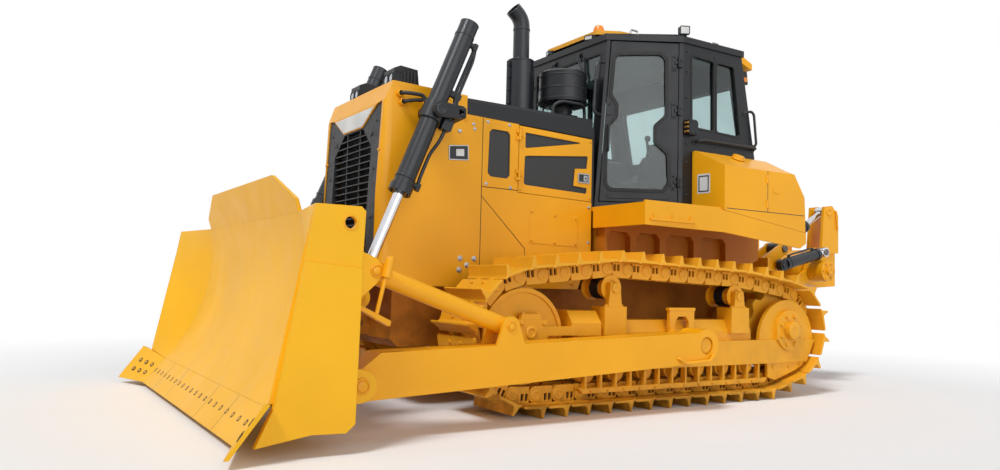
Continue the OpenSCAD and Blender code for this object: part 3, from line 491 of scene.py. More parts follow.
def leather_material(name):
    """Seat cover: a woven grain with soft creases and a slight sheen."""
    m = Nodes(name)
    grain = m.ramp(m.cells(160, feature="DISTANCE_TO_EDGE"), 0.0, 0.25)
    crease = m.noise(9, 5, 0.6)
    tint = m.mix(m.ramp(crease, 0.3, 0.7), srgb(34, 36, 40), srgb(52, 55, 60))
    m.set(Base_Color=m.mix(grain, srgb(24, 25, 28), tint), Roughness=m.ramp(grain, 0, 1, 0.75, 0.52),
          Sheen_Weight=0.25)
    m.bump(m.math("ADD", grain, m.math("MULTIPLY", crease, 0.6)), 0.3, 0.002)
    return m.mat


YELLOW = srgb(240, 168, 12)
CHARCOAL = srgb(22, 24, 28)
# Darker colour towards the ground, dust on the undercarriage and tracks and painted shade on the hull: its
# colour, the heights in metres from full to none, and how much of it
MUD = (srgb(120, 84, 44), 0.05, 0.9, 0.35)
# Painted shade: dark brown low on the hull, in soft patches, darkest at the bottom, standing in for the shadow
# under the deck
UNDERDECK_SHADE = (srgb(96, 54, 14), 0.3, 1.5, 0.7)
SOIL = (srgb(84, 46, 16), 0.02, 0.3, 0.75)

yellow = paint("yellow_paint", YELLOW)
# Blade paint: the body yellow made brighter and yellower, a painted highlight for the strong light on the blade
# face
blade_paint_lit = paint("blade_paint_lit", srgb(243, 180, 8), rough=0.44, coat=0.02)
yellow_low = paint("yellow_paint_low", srgb(236, 166, 20), rough=0.4, coat=0.12, dust_and_shade=MUD)
# The hull in a darker copy of the body yellow: painted shade for the shadow under the deck, with more painted
# shade towards the bottom
hull_paint_shaded = paint("hull_paint_shaded", srgb(190, 116, 18), rough=0.5, coat=0.0, dust_and_shade=UNDERDECK_SHADE)
dark = paint("dark_paint", CHARCOAL, coat=0.05, vary=0.1)
dark_gloss = paint("dark_gloss", srgb(33, 37, 42), rough=0.32, coat=0.1, vary=0.08)
track_paint = paint("track_paint", srgb(234, 168, 34), rough=0.44, coat=0.05, edge=0.003, dust_and_shade=SOIL, vary=0.12)
roof_paint = roof_material()
black = plastic("black_plastic", srgb(30, 32, 35), 0.5)
rubber = plastic("black_rubber", srgb(11, 12, 13), 0.62, 500, 0.1)
# Dark grey for the radiator core and the seams, and for the painted shadow rings round the bolts on the cutting
# edge
dark_parts_and_shade = plastic("dark_parts_and_painted_shade", srgb(44, 46, 48), 0.7)
lining = plastic("cab_lining", srgb(116, 130, 130), 0.75, 12, 0.02)
amber = plastic("amber_lens", srgb(246, 140, 28), 0.25, 200, 0.04)
pale = plastic("pale_plate", srgb(214, 216, 214), 0.42, 240, 0.05)
chrome = metal("rod_chrome", srgb(214, 216, 220), 0.16, 600)
zinc = metal("bolt_zinc", srgb(168, 170, 172), 0.36)
steel = metal("bare_steel", srgb(120, 116, 112), 0.45)
brass = metal("brass", srgb(196, 156, 84), 0.32)
tinted = glass_material("tinted_glass", srgb(206, 222, 222))
lens_glass = glass_material("lens_glass", srgb(244, 246, 248))
screen = mesh_screen("mesh_screen")
leather = leather_material("seat_cover")

NODE_LOOKS = {
    yellow: ["radiator_cowl", "side_panels", "engine_door_left", "engine_door_right", "deck", "tanks",
             "push_arms", "strut_left", "ripper_mount", "ripper_link", "ripper_pins", "ripper_beam",
             "ripper_shank"],
    blade_paint_lit: ["mouldboard", "blade_frame", "cutting_edge"],
    yellow_low: ["track_frames", "idlers", "rollers"],
    hull_paint_shaded: ["main_frame"],
    track_paint: ["sprockets", "track_left", "track_right"],
    dark: ["hood", "cab_floor", "cab_front", "cab_side_left", "cab_side_right", "cab_rear",
           "cab_door_left", "cab_door_right", "lamps", "lift_yokes", "engine_block", "precleaner"],
    dark_gloss: ["lift_barrels", "tilt_barrels", "rip_lift_barrels", "tilt_cylinder", "exhaust_stack"],
    black: ["grille", "console", "seat"],
    chrome: ["lift_rods", "tilt_rods", "rip_lift_rods"],
    steel: ["upper_pins"],
    tinted: ["cab_glass", "door_glass_left", "door_glass_right"],
    roof_paint: ["cab_roof"],
}
for look, names in NODE_LOOKS.items():
    for name in names:
        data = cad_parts[name].data
        data.materials.clear()
        data.materials.append(look)


# Tracks, built on the same wheels as the CAD tracks

# Idler, rear guide, sprocket and two carrier rollers: x, z and the radius of the pins round each
WHEELS = ((40, 600, 452), (-2640, 298, 150), (-2940, 622, 383), (-2280, 930, 160), (-810, 980, 160))
HUB = WHEELS[2][:2]
SHOES = 40
TRACK_Y = 1050
SHOE_HALF = 280


def track_pins():
    """Link pins in order round the loop."""
    count = len(WHEELS)
    turn, run = [], []
    for i, a in enumerate(WHEELS):
        b = WHEELS[(i + 1) % count]
        dx, dz = b[0] - a[0], b[1] - a[1]
        d = math.hypot(dx, dz)
        turn.append(math.atan2(dz, dx) + math.acos((a[2] - b[2]) / d))
        run.append(math.sqrt(d * d - (a[2] - b[2]) ** 2))
    bent = [w[2] * ((turn[i - 1] - turn[i]) % (2 * math.pi)) for i, w in enumerate(WHEELS)]
    total = sum(bent) + sum(run)
    pins = []
    for k in range(SHOES):
        s = total * k / SHOES
        for i, (x, z, r) in enumerate(WHEELS):
            if s < bent[i]:
                b = turn[i - 1] - s / r
                pins.append((x + r * math.cos(b), z + r * math.sin(b)))
                break
            s -= bent[i]
            if s < run[i]:
                c, n = math.cos(turn[i]), math.sin(turn[i])
                pins.append((x + r * c + s * n, z + r * n - s * c))
                break
            s -= run[i]
    return pins


PINS = track_pins()


def shoe_place(k):
    """Length of shoe k, its place (along, outwards, y) in metres and in millimetres, and the way it faces."""
    (ax, az), (bx, bz) = PINS[k], PINS[(k + 1) % SHOES]
    c = math.hypot(bx - ax, bz - az)
    dx, dz = (bx - ax) / c, (bz - az) / c
    raw = lambda u, v, y: Vector((ax + u * dx - v * dz, y, az + u * dz + v * dx))
    return c, lambda u, v, y: P(*raw(u, v, y)), raw, Vector((-dz, 0, dx))


def track(side, node):
    shoes, links, bolts, slot_shade = shapes(4)
    mid = side * TRACK_Y
    for k in range(SHOES):
        c, at, raw, out = shoe_place(k)
        shoes.plate(at, [(2, 59), (12, 56), (c - 28, 56), (c - 8, 49), (c + 7, 49), (c + 8, 55), (c - 5, 63),
                         (c - 14, 78), (c - 33, 148), (c - 49, 148), (c - 60, 92), (c - 76, 78), (22, 78),
                         (5, 70)], mid - SHOE_HALF, mid + SHOE_HALF)
        for u in (50, 108):
            for y in (mid - 82, mid + 82):
                bolts.turned(raw(u, 77, y), out, [(0, 17), (4, 17), (4.5, 14), (13, 14), (15, 10)], 6)
        outline = rounded([(-60, -36), (-26, -70), (c - 64, -70), (c - 64, 55), (-26, 55), (-60, 32)],
                          [34, 22, 5, 5, 22, 34])
        slots = [rect(u, -14, u + 27, 40, 7, 3) for u in (76, 116)]
        for s in (-1, 1):
            y = mid + s * 90
            links.plate(at, outline, y - 27, y + 27, slots)
            links.turned(raw(0, 0, y + s * 26), (0, s, 0), dish((6, 8, 5), (46, 42, 27, 25)), 20)
            # Dark sheet inside the windows of the link plates: painted shade in place of the dark inside of the
            # links
            slot_shade.plate(at, rect(70, -20, 148, 46), y - 4, y + 4)
        links.rod(raw(0, 0, mid - 64), raw(0, 0, mid + 64), 30, 14)
    shoes = shoes.done(node + "_shoes", track_paint, bevel=3)
    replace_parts(shoes, node)
    links.done(node + "_links", track_paint, bevel=2.5)
    bolts.done(node + "_bolts", track_paint)
    slot_shade.done(node + "_slots", rubber)


track(1, "track_left")
track(-1, "track_right")


# Undercarriage

def undercarriage():
    caps, bolts, bands = shapes(3)
    caps.turned((HUB[0], TRACK_Y + 270, HUB[1]), Y, dish((5, 9, 5), (84, 78, 34, 30)), 32)
    bolts.side_bolts(TRACK_Y + 225, arc(*HUB, 140, turns(8, math.pi / 8)), 19, 16)
    # Idler bearing
    caps.turned((20, TRACK_Y + 200, 632), Y, dish((6, 10, 4), (52, 46, 30, 27)), 28)
    bolts.side_bolts(TRACK_Y + 200, ((-95, 560), (105, 560), (-95, 700), (105, 700)), 14, 12)
    for x in (-52, 80):
        bolts.bolt((x, TRACK_Y + 170, 772), Z, 13, 12)
    # Carrier roller brackets
    for x, z, _ in WHEELS[3:]:
        caps.turned((x, TRACK_Y + 185, z), Y, dish((8, 12, 8), (42, 36, 18, 16)), 24)
        for y in (TRACK_Y - 134, TRACK_Y + 120):
            caps.ring((x, y, z), (x, y + 14, z), 106, 60)
        bands.ring((x, TRACK_Y + 106, z), (x, TRACK_Y + 119, z), 90, 80)
        bands.ring((x, TRACK_Y - 50, z), (x, TRACK_Y + 50, z), 90, 80)
        for s in (-1, 1):
            bolts.bolt((x + s * 82, TRACK_Y + 165, 830), Z, 16, 14)
    # Rail of the step
    caps.box((-1700, TRACK_Y + 160, 800), (-1390, TRACK_Y + 203, 826))
    # Bolts along the ledge and the roller guard
    bolts.side_bolts(TRACK_Y + 200, [(-560 - 170 * k, 170) for k in range(12)], 9, 7)
    bolts.side_bolts(TRACK_Y + 190, ((-2730, 285), (-2950, 285), (-3110, 300)), 12, 9)
    # End of the trunnion in the push arm
    caps.turned((-1453, 1600, 532), Y, dish((8, 12, 8), (62, 56, 40, 37)), 32)
    caps.both().done("frame_caps", yellow_low, bevel=2)
    bolts.both().done("frame_bolts", yellow_low)
    bands.both().done("carrier_bands", rubber)


undercarriage()


# Blade, push arms and strut

BOARD_FOOT = 251
BOARD_R = 1346
EDGE_Y = 1565
EDGE_OUT = Vector((0.770, 0, 0.638))


def edge_point(y, t):
    """A point on the front of the cutting edge, t down from the mouldboard, with the way it faces."""
    return Vector((2097.3 + 175 * t, y, BOARD_FOOT - 211 * t)), EDGE_OUT


def bit_point(s, t):
    """A point on the front of the left end bit."""
    a, b = Vector((2099.3, EDGE_Y, BOARD_FOOT)), Vector((2272.3, EDGE_Y, 40))
    c, d = Vector((2215, 1980, 330)), Vector((2420, 1980, 48))
    p = (a * (1 - s) + c * s) * (1 - t) + (b * (1 - s) + d * s) * t
    n = (b - a).cross(c - a).normalized()
    return p, n if n.x > 0 else -n


def mouldboard():
    """The curved blade face and its folded wings, smoother than the solid's facets."""
    board = Shape()
    rows = 40

    def inner(t, side):
        z = BOARD_FOOT + t * 1166
        return Vector((3136 - math.sqrt(BOARD_R ** 2 - (z - 1107) ** 2), side * (EDGE_Y - 365 * t), z))

    def outer(t, side):
        return Vector((2163 - 215 * t, side * 1860, 306 + 1111 * t))

    def row(t, cols, deep):
        a, b = start(t), end(t)
        return board.loop(P(*(a.lerp(b, j / cols) - Vector((deep, 0, 0)))) for j in range(cols + 1))

    for start, end, cols in ((lambda t: outer(t, -1), lambda t: inner(t, -1), 4),
                             (lambda t: inner(t, -1), lambda t: inner(t, 1), 8),
                             (lambda t: inner(t, 1), lambda t: outer(t, 1), 4)):
        sheets = [[row(i / rows, cols, deep) for i in range(rows + 1)] for deep in (0, 30)]
        for sheet in sheets:
            for i in range(rows):
                for j in range(cols):
                    board.face([sheet[i][j], sheet[i][j + 1], sheet[i + 1][j + 1], sheet[i + 1][j]])
        front, back = sheets
        for i in range(rows):
            for j in (0, cols):
                board.face([front[i][j], front[i + 1][j], back[i + 1][j], back[i][j]])
        for j in range(cols):
            for i in (0, rows):
                board.face([front[i][j], front[i][j + 1], back[i][j + 1], back[i][j]])
    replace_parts(board.done("mouldboard_face", blade_paint_lit, "blade", smooth=30), "mouldboard")


mouldboard()


def blade():
    heads, rings = shapes(2)
    # Dark rings round the bolt heads on the cutting edge and the end bits: painted shadow round each head
    for k in range(21):
        p, n = edge_point(-1490 + 149 * k, 0.46)
        rings.turned(p, n, [(-1, 21), (1.2, 21), (1.6, 19), (1.6, 15), (0.6, 14)], 16)
        heads.turned(p, n, [(0, 14), (1.5, 13), (2.2, 8), (2.4, 0)], 12)
    for side in (1, -1):
        for s in (0.2, 0.45, 0.7):
            for t in (0.36, 0.66):
                p, n = bit_point(s, t)
                p, n = Vector((p.x, side * p.y, p.z)), Vector((n.x, side * n.y, n.z))
                rings.turned(p, n, [(-4, 21), (3, 21), (3.4, 19), (3.4, 15), (2, 14)], 16)
                heads.turned(p, n, [(0, 14), (3.2, 13), (4, 8), (4.2, 0)], 12)
    rings.done("edge_bolt_shade_rings", dark_parts_and_shade, "blade")
    heads.done("edge_bolts", yellow_low, "blade")
    # Joints of the cutting edge
    seams = Shape()
    for y in (-1040, -520, 520, 1040):
        seams.strip([edge_point(y, t)[0] for t in (0.02, 0.98)], EDGE_OUT, 3, 0.5)
    seams.done("edge_seams", dark_parts_and_shade, "blade")
    pins = Shape()
    pin = [(0, 52), (7, 52), (10, 48), (10, 41), (4, 39), (4, 35), (10, 33), (12, 28), (12, 0)]
    for place, size, n in (((1532, 1645, 348), 1, 32), ((441, 1620, 700), 0.72, 28),
                           ((1450, 1620, 1050), 0.8, 28), ((1270, 925, 870), 0.9, 28)):
        pins.turned(place, Y, [(d, r * size) for d, r in pin], n)
    # Rim of the lifting hole
    pins.ring((1740, 1889, 1320), (1740, 1894, 1320), 46, 35)
    # Handle at the rear of the arm
    pins.pipe([(-1125, 1618, 442), (-1135, 1640, 440), (-1205, 1642, 402), (-1470, 1642, 414),
               (-1505, 1640, 455), (-1512, 1618, 458)], 26, 13)
    pins.both().done("arm_pins", yellow, "blade", bevel=1.5)
    # Clamp on the strut with its hanging bar
    clamp = Shape()
    clamp.rod((1372, 1640, 1130), (1398, 1640, 1010), 30)
    clamp.turned((1368, 1640, 1128), (-0.21, 0, 0.98), [(0, 24), (10, 24), (16, 16), (18, 0)], 20)
    clamp.rod((1396, 1640, 1030), (1460, 1640, 748), 13)
    clamp.slab(side_plane(1600), [(1620, 838), (1610, 862), (1356, 742), (1366, 706)], 8, 0, 56)
    clamp.ring((1340, 1510, 1012), (1395, 1510, 1031), 74, 62.5)
    clamp.done("strut_clamp", yellow, "blade", bevel=3)


blade()


# Lift cylinders

YOKE_X, YOKE_Z = 697, 2282
LIFT = Vector((YOKE_X, 850, YOKE_Z))
LIFT_D = Vector((573, 0, -1412)).normalized()
LIFT_N = Vector((LIFT_D.z, 0, -LIFT_D.x))


def lift_at(t, n, s=0.0):
    """A point t along the lift cylinder from its pivot, n behind it and s to the side."""
    return LIFT + LIFT_D * t + LIFT_N * n + Vector((0, s, 0))


def lift_cylinders():
    pipes, bands = shapes(2)
    bands.ring(lift_at(-690, 0), lift_at(-668, 0), 79, 74)
    bands.ring(lift_at(-800, 0), lift_at(-792, 0), 77, 30)
    bands.ring(lift_at(560, 0), lift_at(576, 0), 80, 74)
    for t in (-650, 585):
        bands.rod(lift_at(t, 60), lift_at(t, 128), 24)
        bands.rod(lift_at(t - 30, 118), lift_at(t + 30, 118), 22)
    pipes.pipe([lift_at(*p) for p in ((-630, 118), (-560, 118), (-220, 112), (-120, 130, 40), (40, 142, 58))],
               60, 15)
    pipes.pipe([lift_at(*p) for p in ((-618, 132), (-540, 146), (-230, 142), (-40, 170, 20), (60, 160, 30))],
               60, 12)
    pipes.pipe([lift_at(*p) for p in ((40, 128, 50), (200, 128, 30), (300, 106, 0), (500, 106, 0),
                                      (570, 112, 0))], 60, 14)
    bands.plate(plane_at(lift_at(-210, 70, -16), LIFT_D, LIFT_N), rect(-24, 0, 24, 96, 10), 0, 32)
    bands.slab(plane_at(lift_at(60, 80, 20), LIFT_D, LIFT_N),
               [(-50, 0), (50, 0), (40, 84), (-40, 84)], 14, 0, 60)
    for s in (-1, 1):
        for t in (-50, 50):
            bands.bolt(lift_at(t, 0, 92 * s), (0, s, 0), 11, 9, washer=False)
    for n, s in arc(0, 0, 66, turns(8)):
        bands.bolt(lift_at(690, n, s), LIFT_D, 9, 7, washer=False)
    pipes.both().done("lift_pipes", dark_gloss, "lift_barrels")
    bands.both().done("lift_bands", dark_gloss, "lift_barrels", bevel=2)


lift_cylinders()


# Hood, side panels and engine doors

PANEL_WINDOW = [(47, 2245), (20, 2273), (-132, 2271), (-158, 2243), (-160, 1900), (-133, 1872),
                (28, 1875), (56, 1903)]
DOOR_TOP = [(-313, 2285), (-313, 2158), (-330, 2152), (-895, 2254), (-900, 2264)]
DOOR_LOW = [(-310, 2075), (-330, 2087), (-981, 2150), (-991, 2140), (-980, 2038), (-849, 2025), (-835, 1873),
            (-984, 1864), (-981, 1822), (-970, 1812), (-325, 1836), (-305, 1848)]
SIDE = 620
RECESS = 12


def screens(name, body, outlines, sides):
    """Mesh screens in recessed windows, each held by a thin frame."""
    nets, rims = shapes(2)
    for side in sides:
        at = side_plane(side * (SIDE - RECESS))
        for outline in outlines:
            nets.plate(at, offset(outline, -1), 0.3, 3)
            rims.rim(at, offset(outline, -1), offset(outline, -11), 0.3, 7)
    nets.done(name + "_mesh", screen, body)
    rims.done(name + "_rims", black, body, bevel=1)


def engine_door(side, label):
    body = "engine_door_" + label
    screens(body, body, [DOOR_TOP, DOOR_LOW], [side])
    at = side_plane(side * SIDE)
    latch, paddle, bolts = shapes(3)
    pocket = rect(-892, 1916, -998, 1980, 10)
    latch.plate(at, rect(-880, 1904, -1010, 1992, 14), 0, 6, [pocket])
    latch.plate(at, rect(-945, 1922, -990, 1974, 6), 0, 4)
    paddle.plate(at, pocket, 0, 1.5)
    paddle.turned((-968, side * (SIDE + 4), 1948), (0, side, 0), [(0, 9), (2, 9), (3, 6), (2, 4), (2, 0)], 16)
    paddle.done(body + "_paddle", black, body)
    for x, z in ((-270, 1790), (-270, 2310), (-1015, 1775), (-1015, 2285)):
        bolts.bolt((x, side * SIDE, z), (0, side, 0), 9, 7)
    for z in (1911, 2254):
        for s in (-1, 1):
            bolts.bolt((-272, side * (SIDE + 15), z + 8 * s), (0, side, 0), 5, 4, washer=False)
    latch.done(body + "_latch", zinc, body, bevel=1.2)
    bolts.done(body + "_bolts", yellow, body)


def body_panels():
    screens("panel", "base", [PANEL_WINDOW], [1, -1])
    bolts, plates, edges, shiny = shapes(4)
    shiny.side_bolts(SIDE, ((65, 2326), (-148, 2326), (68, 1811), (-170, 1798), (-1010, 1690), (-1010, 1380),
                            (200, 2290), (190, 2250)), 10, 8)
    bolts.side_bolts(SIDE, ((-300, 1010), (60, 1010), (-370, 1010), (-830, 1010)), 10, 8)
    bolts.side_bolts(SIDE + 3, ((-392, 1612), (-640, 1594), (-864, 1578), (-866, 1356), (-640, 1360),
                                (-392, 1366)), 9, 7)
    bolts.turned((278, SIDE, 2325), Y, dish((4, 6, 3), (20, 15, 8, 6)), 20)
    bolts.both().done("body_bolts", yellow)
    shiny.side_bolts(SIDE, ((295, 1187), (165, 1189), (232, 1135), (302, 1095)), 16, 13)
    shiny.turned((332, SIDE, 2216), Y, [(0, 17), (6, 17), (8, 13), (16, 13), (18, 8), (18, 0)], 18)
    shiny.both().done("cowl_fittings", zinc)
    rim = rounded([(428, 2090), (247, 2110), (243, 1985), (425, 1972)], 10)
    plates.plate(side_plane(SIDE), offset(rim, -3), 0, 3)
    edges.rim(side_plane(SIDE), rim, offset(rim, -8), 0, 6)
    edges.both().done("cowl_plate_rim", zinc, bevel=1)
    plates.both().done("cowl_plate", black, bevel=1)
    tag = Shape()
    tag.slab(side_plane(SIDE), [(360, 2066), (286, 2074), (284, 2016), (358, 2010)], 5, 2.5, 4)
    tag.both().done("cowl_tag", pale)
    # Dark lines where the sheets meet
    seams = Shape()
    groove = SIDE - 3.9
    seams.strip([(112, SIDE + 0.1, 965), (112, SIDE + 0.1, 2352)], Y, 6, 0.5)
    seams.strip([(110, groove, 1785), (-243, groove, 1781)], Y, 6, 2)
    seams.strip([(110, groove, 1707), (-328, groove, 1294.5), (-328, groove, 965)], Y, 5.5, 2)
    seams.both().done("panel_seams", rubber)
    # Bolts on the hood, whose top slopes a little
    top = Shape()
    hood = lambda x: 2500 + (x - 265) * 8 / 1300
    for x in (60, -240, -1000):
        for y in (-540, -420, 420, 540):
            top.bolt((x, y, hood(x)), Z, 10, 8)
    top.done("hood_bolts", dark)


engine_door(1, "left")
engine_door(-1, "right")
body_panels()


def radiator():
    core, trim = shapes(2)
    at = front_plane(926)
    core.plate(at, [(-392, 1080), (392, 1080), (398, 2050), (215, 2216), (-215, 2216), (-398, 2050)], 0, 8)
    for k in range(39):
        y = -380 + 20 * k
        top = min(2048, 2216 - (abs(y) - 205) * 0.9) if abs(y) > 205 else 2205
        core.plate(at, rect(y - 2, 1090, y + 2, top - 12), 7, 16)
    core.done("radiator_core", dark_parts_and_shade)
    front = lambda z: 1004 + 14 * (z - 1060) / 440 if z < 1500 else 1018 - 32 * (z - 1500) / 800
    for y, z in ((470, 1100), (470, 1480), (470, 1860), (400, 2145), (470, 2240), (160, 2290), (330, 2310)):
        for s in (-1, 1):
            trim.bolt((front(z), s * y, z), X, 9, 6)
    for s in (-1, 1):
        trim.turned((front(2147), s * 372, 2147), X, [(0, 22), (4, 22), (6, 16), (6, 0)], 24)
    trim.done("grille_bolts", black)
    band, clip = shapes(2)
    band.slab(front_plane(1030, -40 / 880, 1500),
              [(-418, 2362), (-203, 2234), (203, 2234), (418, 2362)], 8, 0.2, 3)
    band.done("grille_band", pale, bevel=0.8)
    clip.plate(top_plane(2000), rect(975, 540, 1012, 590, 8), -9, 9)
    clip.both().done("grille_clips", yellow, bevel=2)


radiator()


def cowl_pipes():
    """Hydraulic pipes from the cowl's upper corner to the yokes of the lift cylinders."""
    pipes, ends = shapes(2)
    pipes.pipe([(876, 640, 2440), (870, 690, 2438), (800, 716, 2436), (712, 727, 2430), (704, 727, 2350)],
               34, 15)
    pipes.pipe([(853, 640, 2376), (846, 682, 2376), (780, 690, 2392), (664, 727, 2400), (656, 727, 2350)],
               34, 15)
    for p, q in (((876, 619, 2440), (876, 664, 2440)), ((853, 619, 2376), (853, 662, 2376))):
        ends.rod(p, q, 24)
        ends.turned(Vector(q) - Vector((0, 16, 0)), Y, [(0, 28), (14, 28), (16, 22)], 6)
    for x in (704, 656):
        ends.rod((x, 727, 2348), (x, 727, 2380), 20)
    pipes.both().done("yoke_pipes", black)
    ends.both().done("yoke_fittings", yellow, bevel=1.5)


cowl_pipes()


def stack_and_cleaner():
    x, y = -558, 150
    parts, bolts, rings = shapes(3)
    for s in (-1, 1):
        for d in (-7, 2):
            at = lambda a, b, w, s=s, d=d: P(x + s * a, y + d + w, b)
            parts.plate(at, rect(112, 2585, 150, 3030, 8), 0, 5)
        for z in (2640, 2760, 2880, 2990):
            bolts.bolt((x + s * 134, y + 7, z), Y, 10, 8)
    parts.ring((x, y, 2571), (x, y, 2590), 126, 117)
    parts.ring((x, y, 3036), (x, y, 3052), 122, 74)
    parts.ring((x, y, 3330), (x, y, 3352), 79, 74.5)
    for dx in (-115, 115):
        for dy in (-105, 105):
            bolts.bolt((x + dx, y + dy, 2570), Z, 13, 11)
    parts.done("stack_flanges", dark_gloss, bevel=1.5)
    bolts.done("stack_bolts", dark_gloss)
    x, y = -935, 300
    for z in (2690, 2790, 2905):
        rings.ring((x, y, z), (x, y, z + 12), 225, 219)
    rings.ring((x, y, 2590), (x, y, 2610), 91, 84)
    for near, far in zip(arc(x, y, 165, turns(24)), arc(x, y, 232, turns(24))):
        rings.rod((*near, 2646), (*far, 2668), 6, 8)
    rings.turned((x, y, 2961), Z, [(0, 195), (4, 150), (9, 60), (20, 52), (26, 40), (28, 0)], 40)
    rings.done("cleaner_rings", black, bevel=1)
    loop = Shape()
    loop.pipe([(-700, 470, 2495), (-700, 470, 2600), (-760, 520, 2640), (-1000, 520, 2640), (-1060, 470, 2600),
               (-1060, 470, 2495)], 50, 15)
    loop.done("cleaner_rail", black)


stack_and_cleaner()


# Cab

DOOR_DIR = Vector((-700, 400, 0)).normalized()
DOOR_OUT = Vector((400, 700, 0)).normalized()
DOOR_HOLE = [(165, 3085), (195, 3130), (590, 3150), (645, 3100), (650, 2575), (547, 2478), (547, 2322),
             (668, 2222), (683, 1950), (630, 1878), (138, 1880), (100, 1930), (104, 2435), (192, 2545),
             (197, 2660), (138, 2750)]
CAB_SIDE = 950
SIDE_PANES = [[(-1945, 2486), (-1935, 3165), (-2232, 3153), (-2238, 2478)],
              [(-2268, 2476), (-2262, 3152), (-2507, 3145), (-2605, 2466)]]


def door_raw(side, s, z, w):
    v = Vector((-1130, 550, 0)) + s * DOOR_DIR + w * DOOR_OUT
    return Vector((v.x, side * v.y, z))


def door_place(side):
    """The outside of a cab door: s along it from the front corner, z up, w outwards."""
    return lambda s, z, w: P(*door_raw(side, s, z, w))


def gasket(shape, at, outline, out, inn, w0, w1, r):
    """A seal round a window, from out outside its outline to inn inside it."""
    shape.plate(at, rounded(offset(outline, out), r), w0, w1, [rounded(offset(outline, -inn), r)])


def cab_door(side, label):
    body = "cab_door_" + label
    at = door_place(side)
    raw = lambda s, z, w: door_raw(side, s, z, w)
    out = Vector((DOOR_OUT.x, side * DOOR_OUT.y, 0))
    seal, fit, bolts, grip = shapes(4)
    gasket(seal, at, DOOR_HOLE, 20, 12, -14, 6, 46)
    seal.done(body + "_seal", rubber, body, bevel=2)
    for z in (1960, 2623, 3069):
        fit.plate(at, rect(698, z - 78, 746, z + 78, 12), 0, 5)
        for d in (-55, 55):
            bolts.bolt(raw(722, z + d, 5), out, 9, 7)
    # Lock and pull handle in the waist of the window
    fit.slab(at, [(92, 2560), (150, 2560), (158, 2640), (128, 2720), (96, 2735)], 14, 0, 8)
    fit.turned(raw(122, 2665, 8), out, [(0, 16), (5, 16), (7, 11), (5, 8), (5, 0)], 20)
    grip.pipe([raw(*p) for p in ((118, 2470, -2), (116, 2470, 40), (112, 2230, 40), (112, 2230, -2))], 26, 11)
    grip.pipe([raw(*p) for p in ((600, 2450, -40), (600, 2450, -80), (600, 2350, -80), (600, 2350, -40))],
              20, 9)
    # Pressed rib across the foot of the door
    fit.plate(at, rect(110, 1795, 690, 1845, 18), 0, 4)
    fit.done(body + "_fittings", dark, body, bevel=1.5)
    bolts.done(body + "_bolts", dark_gloss, body)
    grip.done(body + "_handles", black, body)


cab_door(1, "left")
cab_door(-1, "right")


def screen_raw(y, z, w):
    """A point w in front of the windscreen."""
    return Vector((-1130 - 80 / 1500 * (z - 1760) + w, y, z))


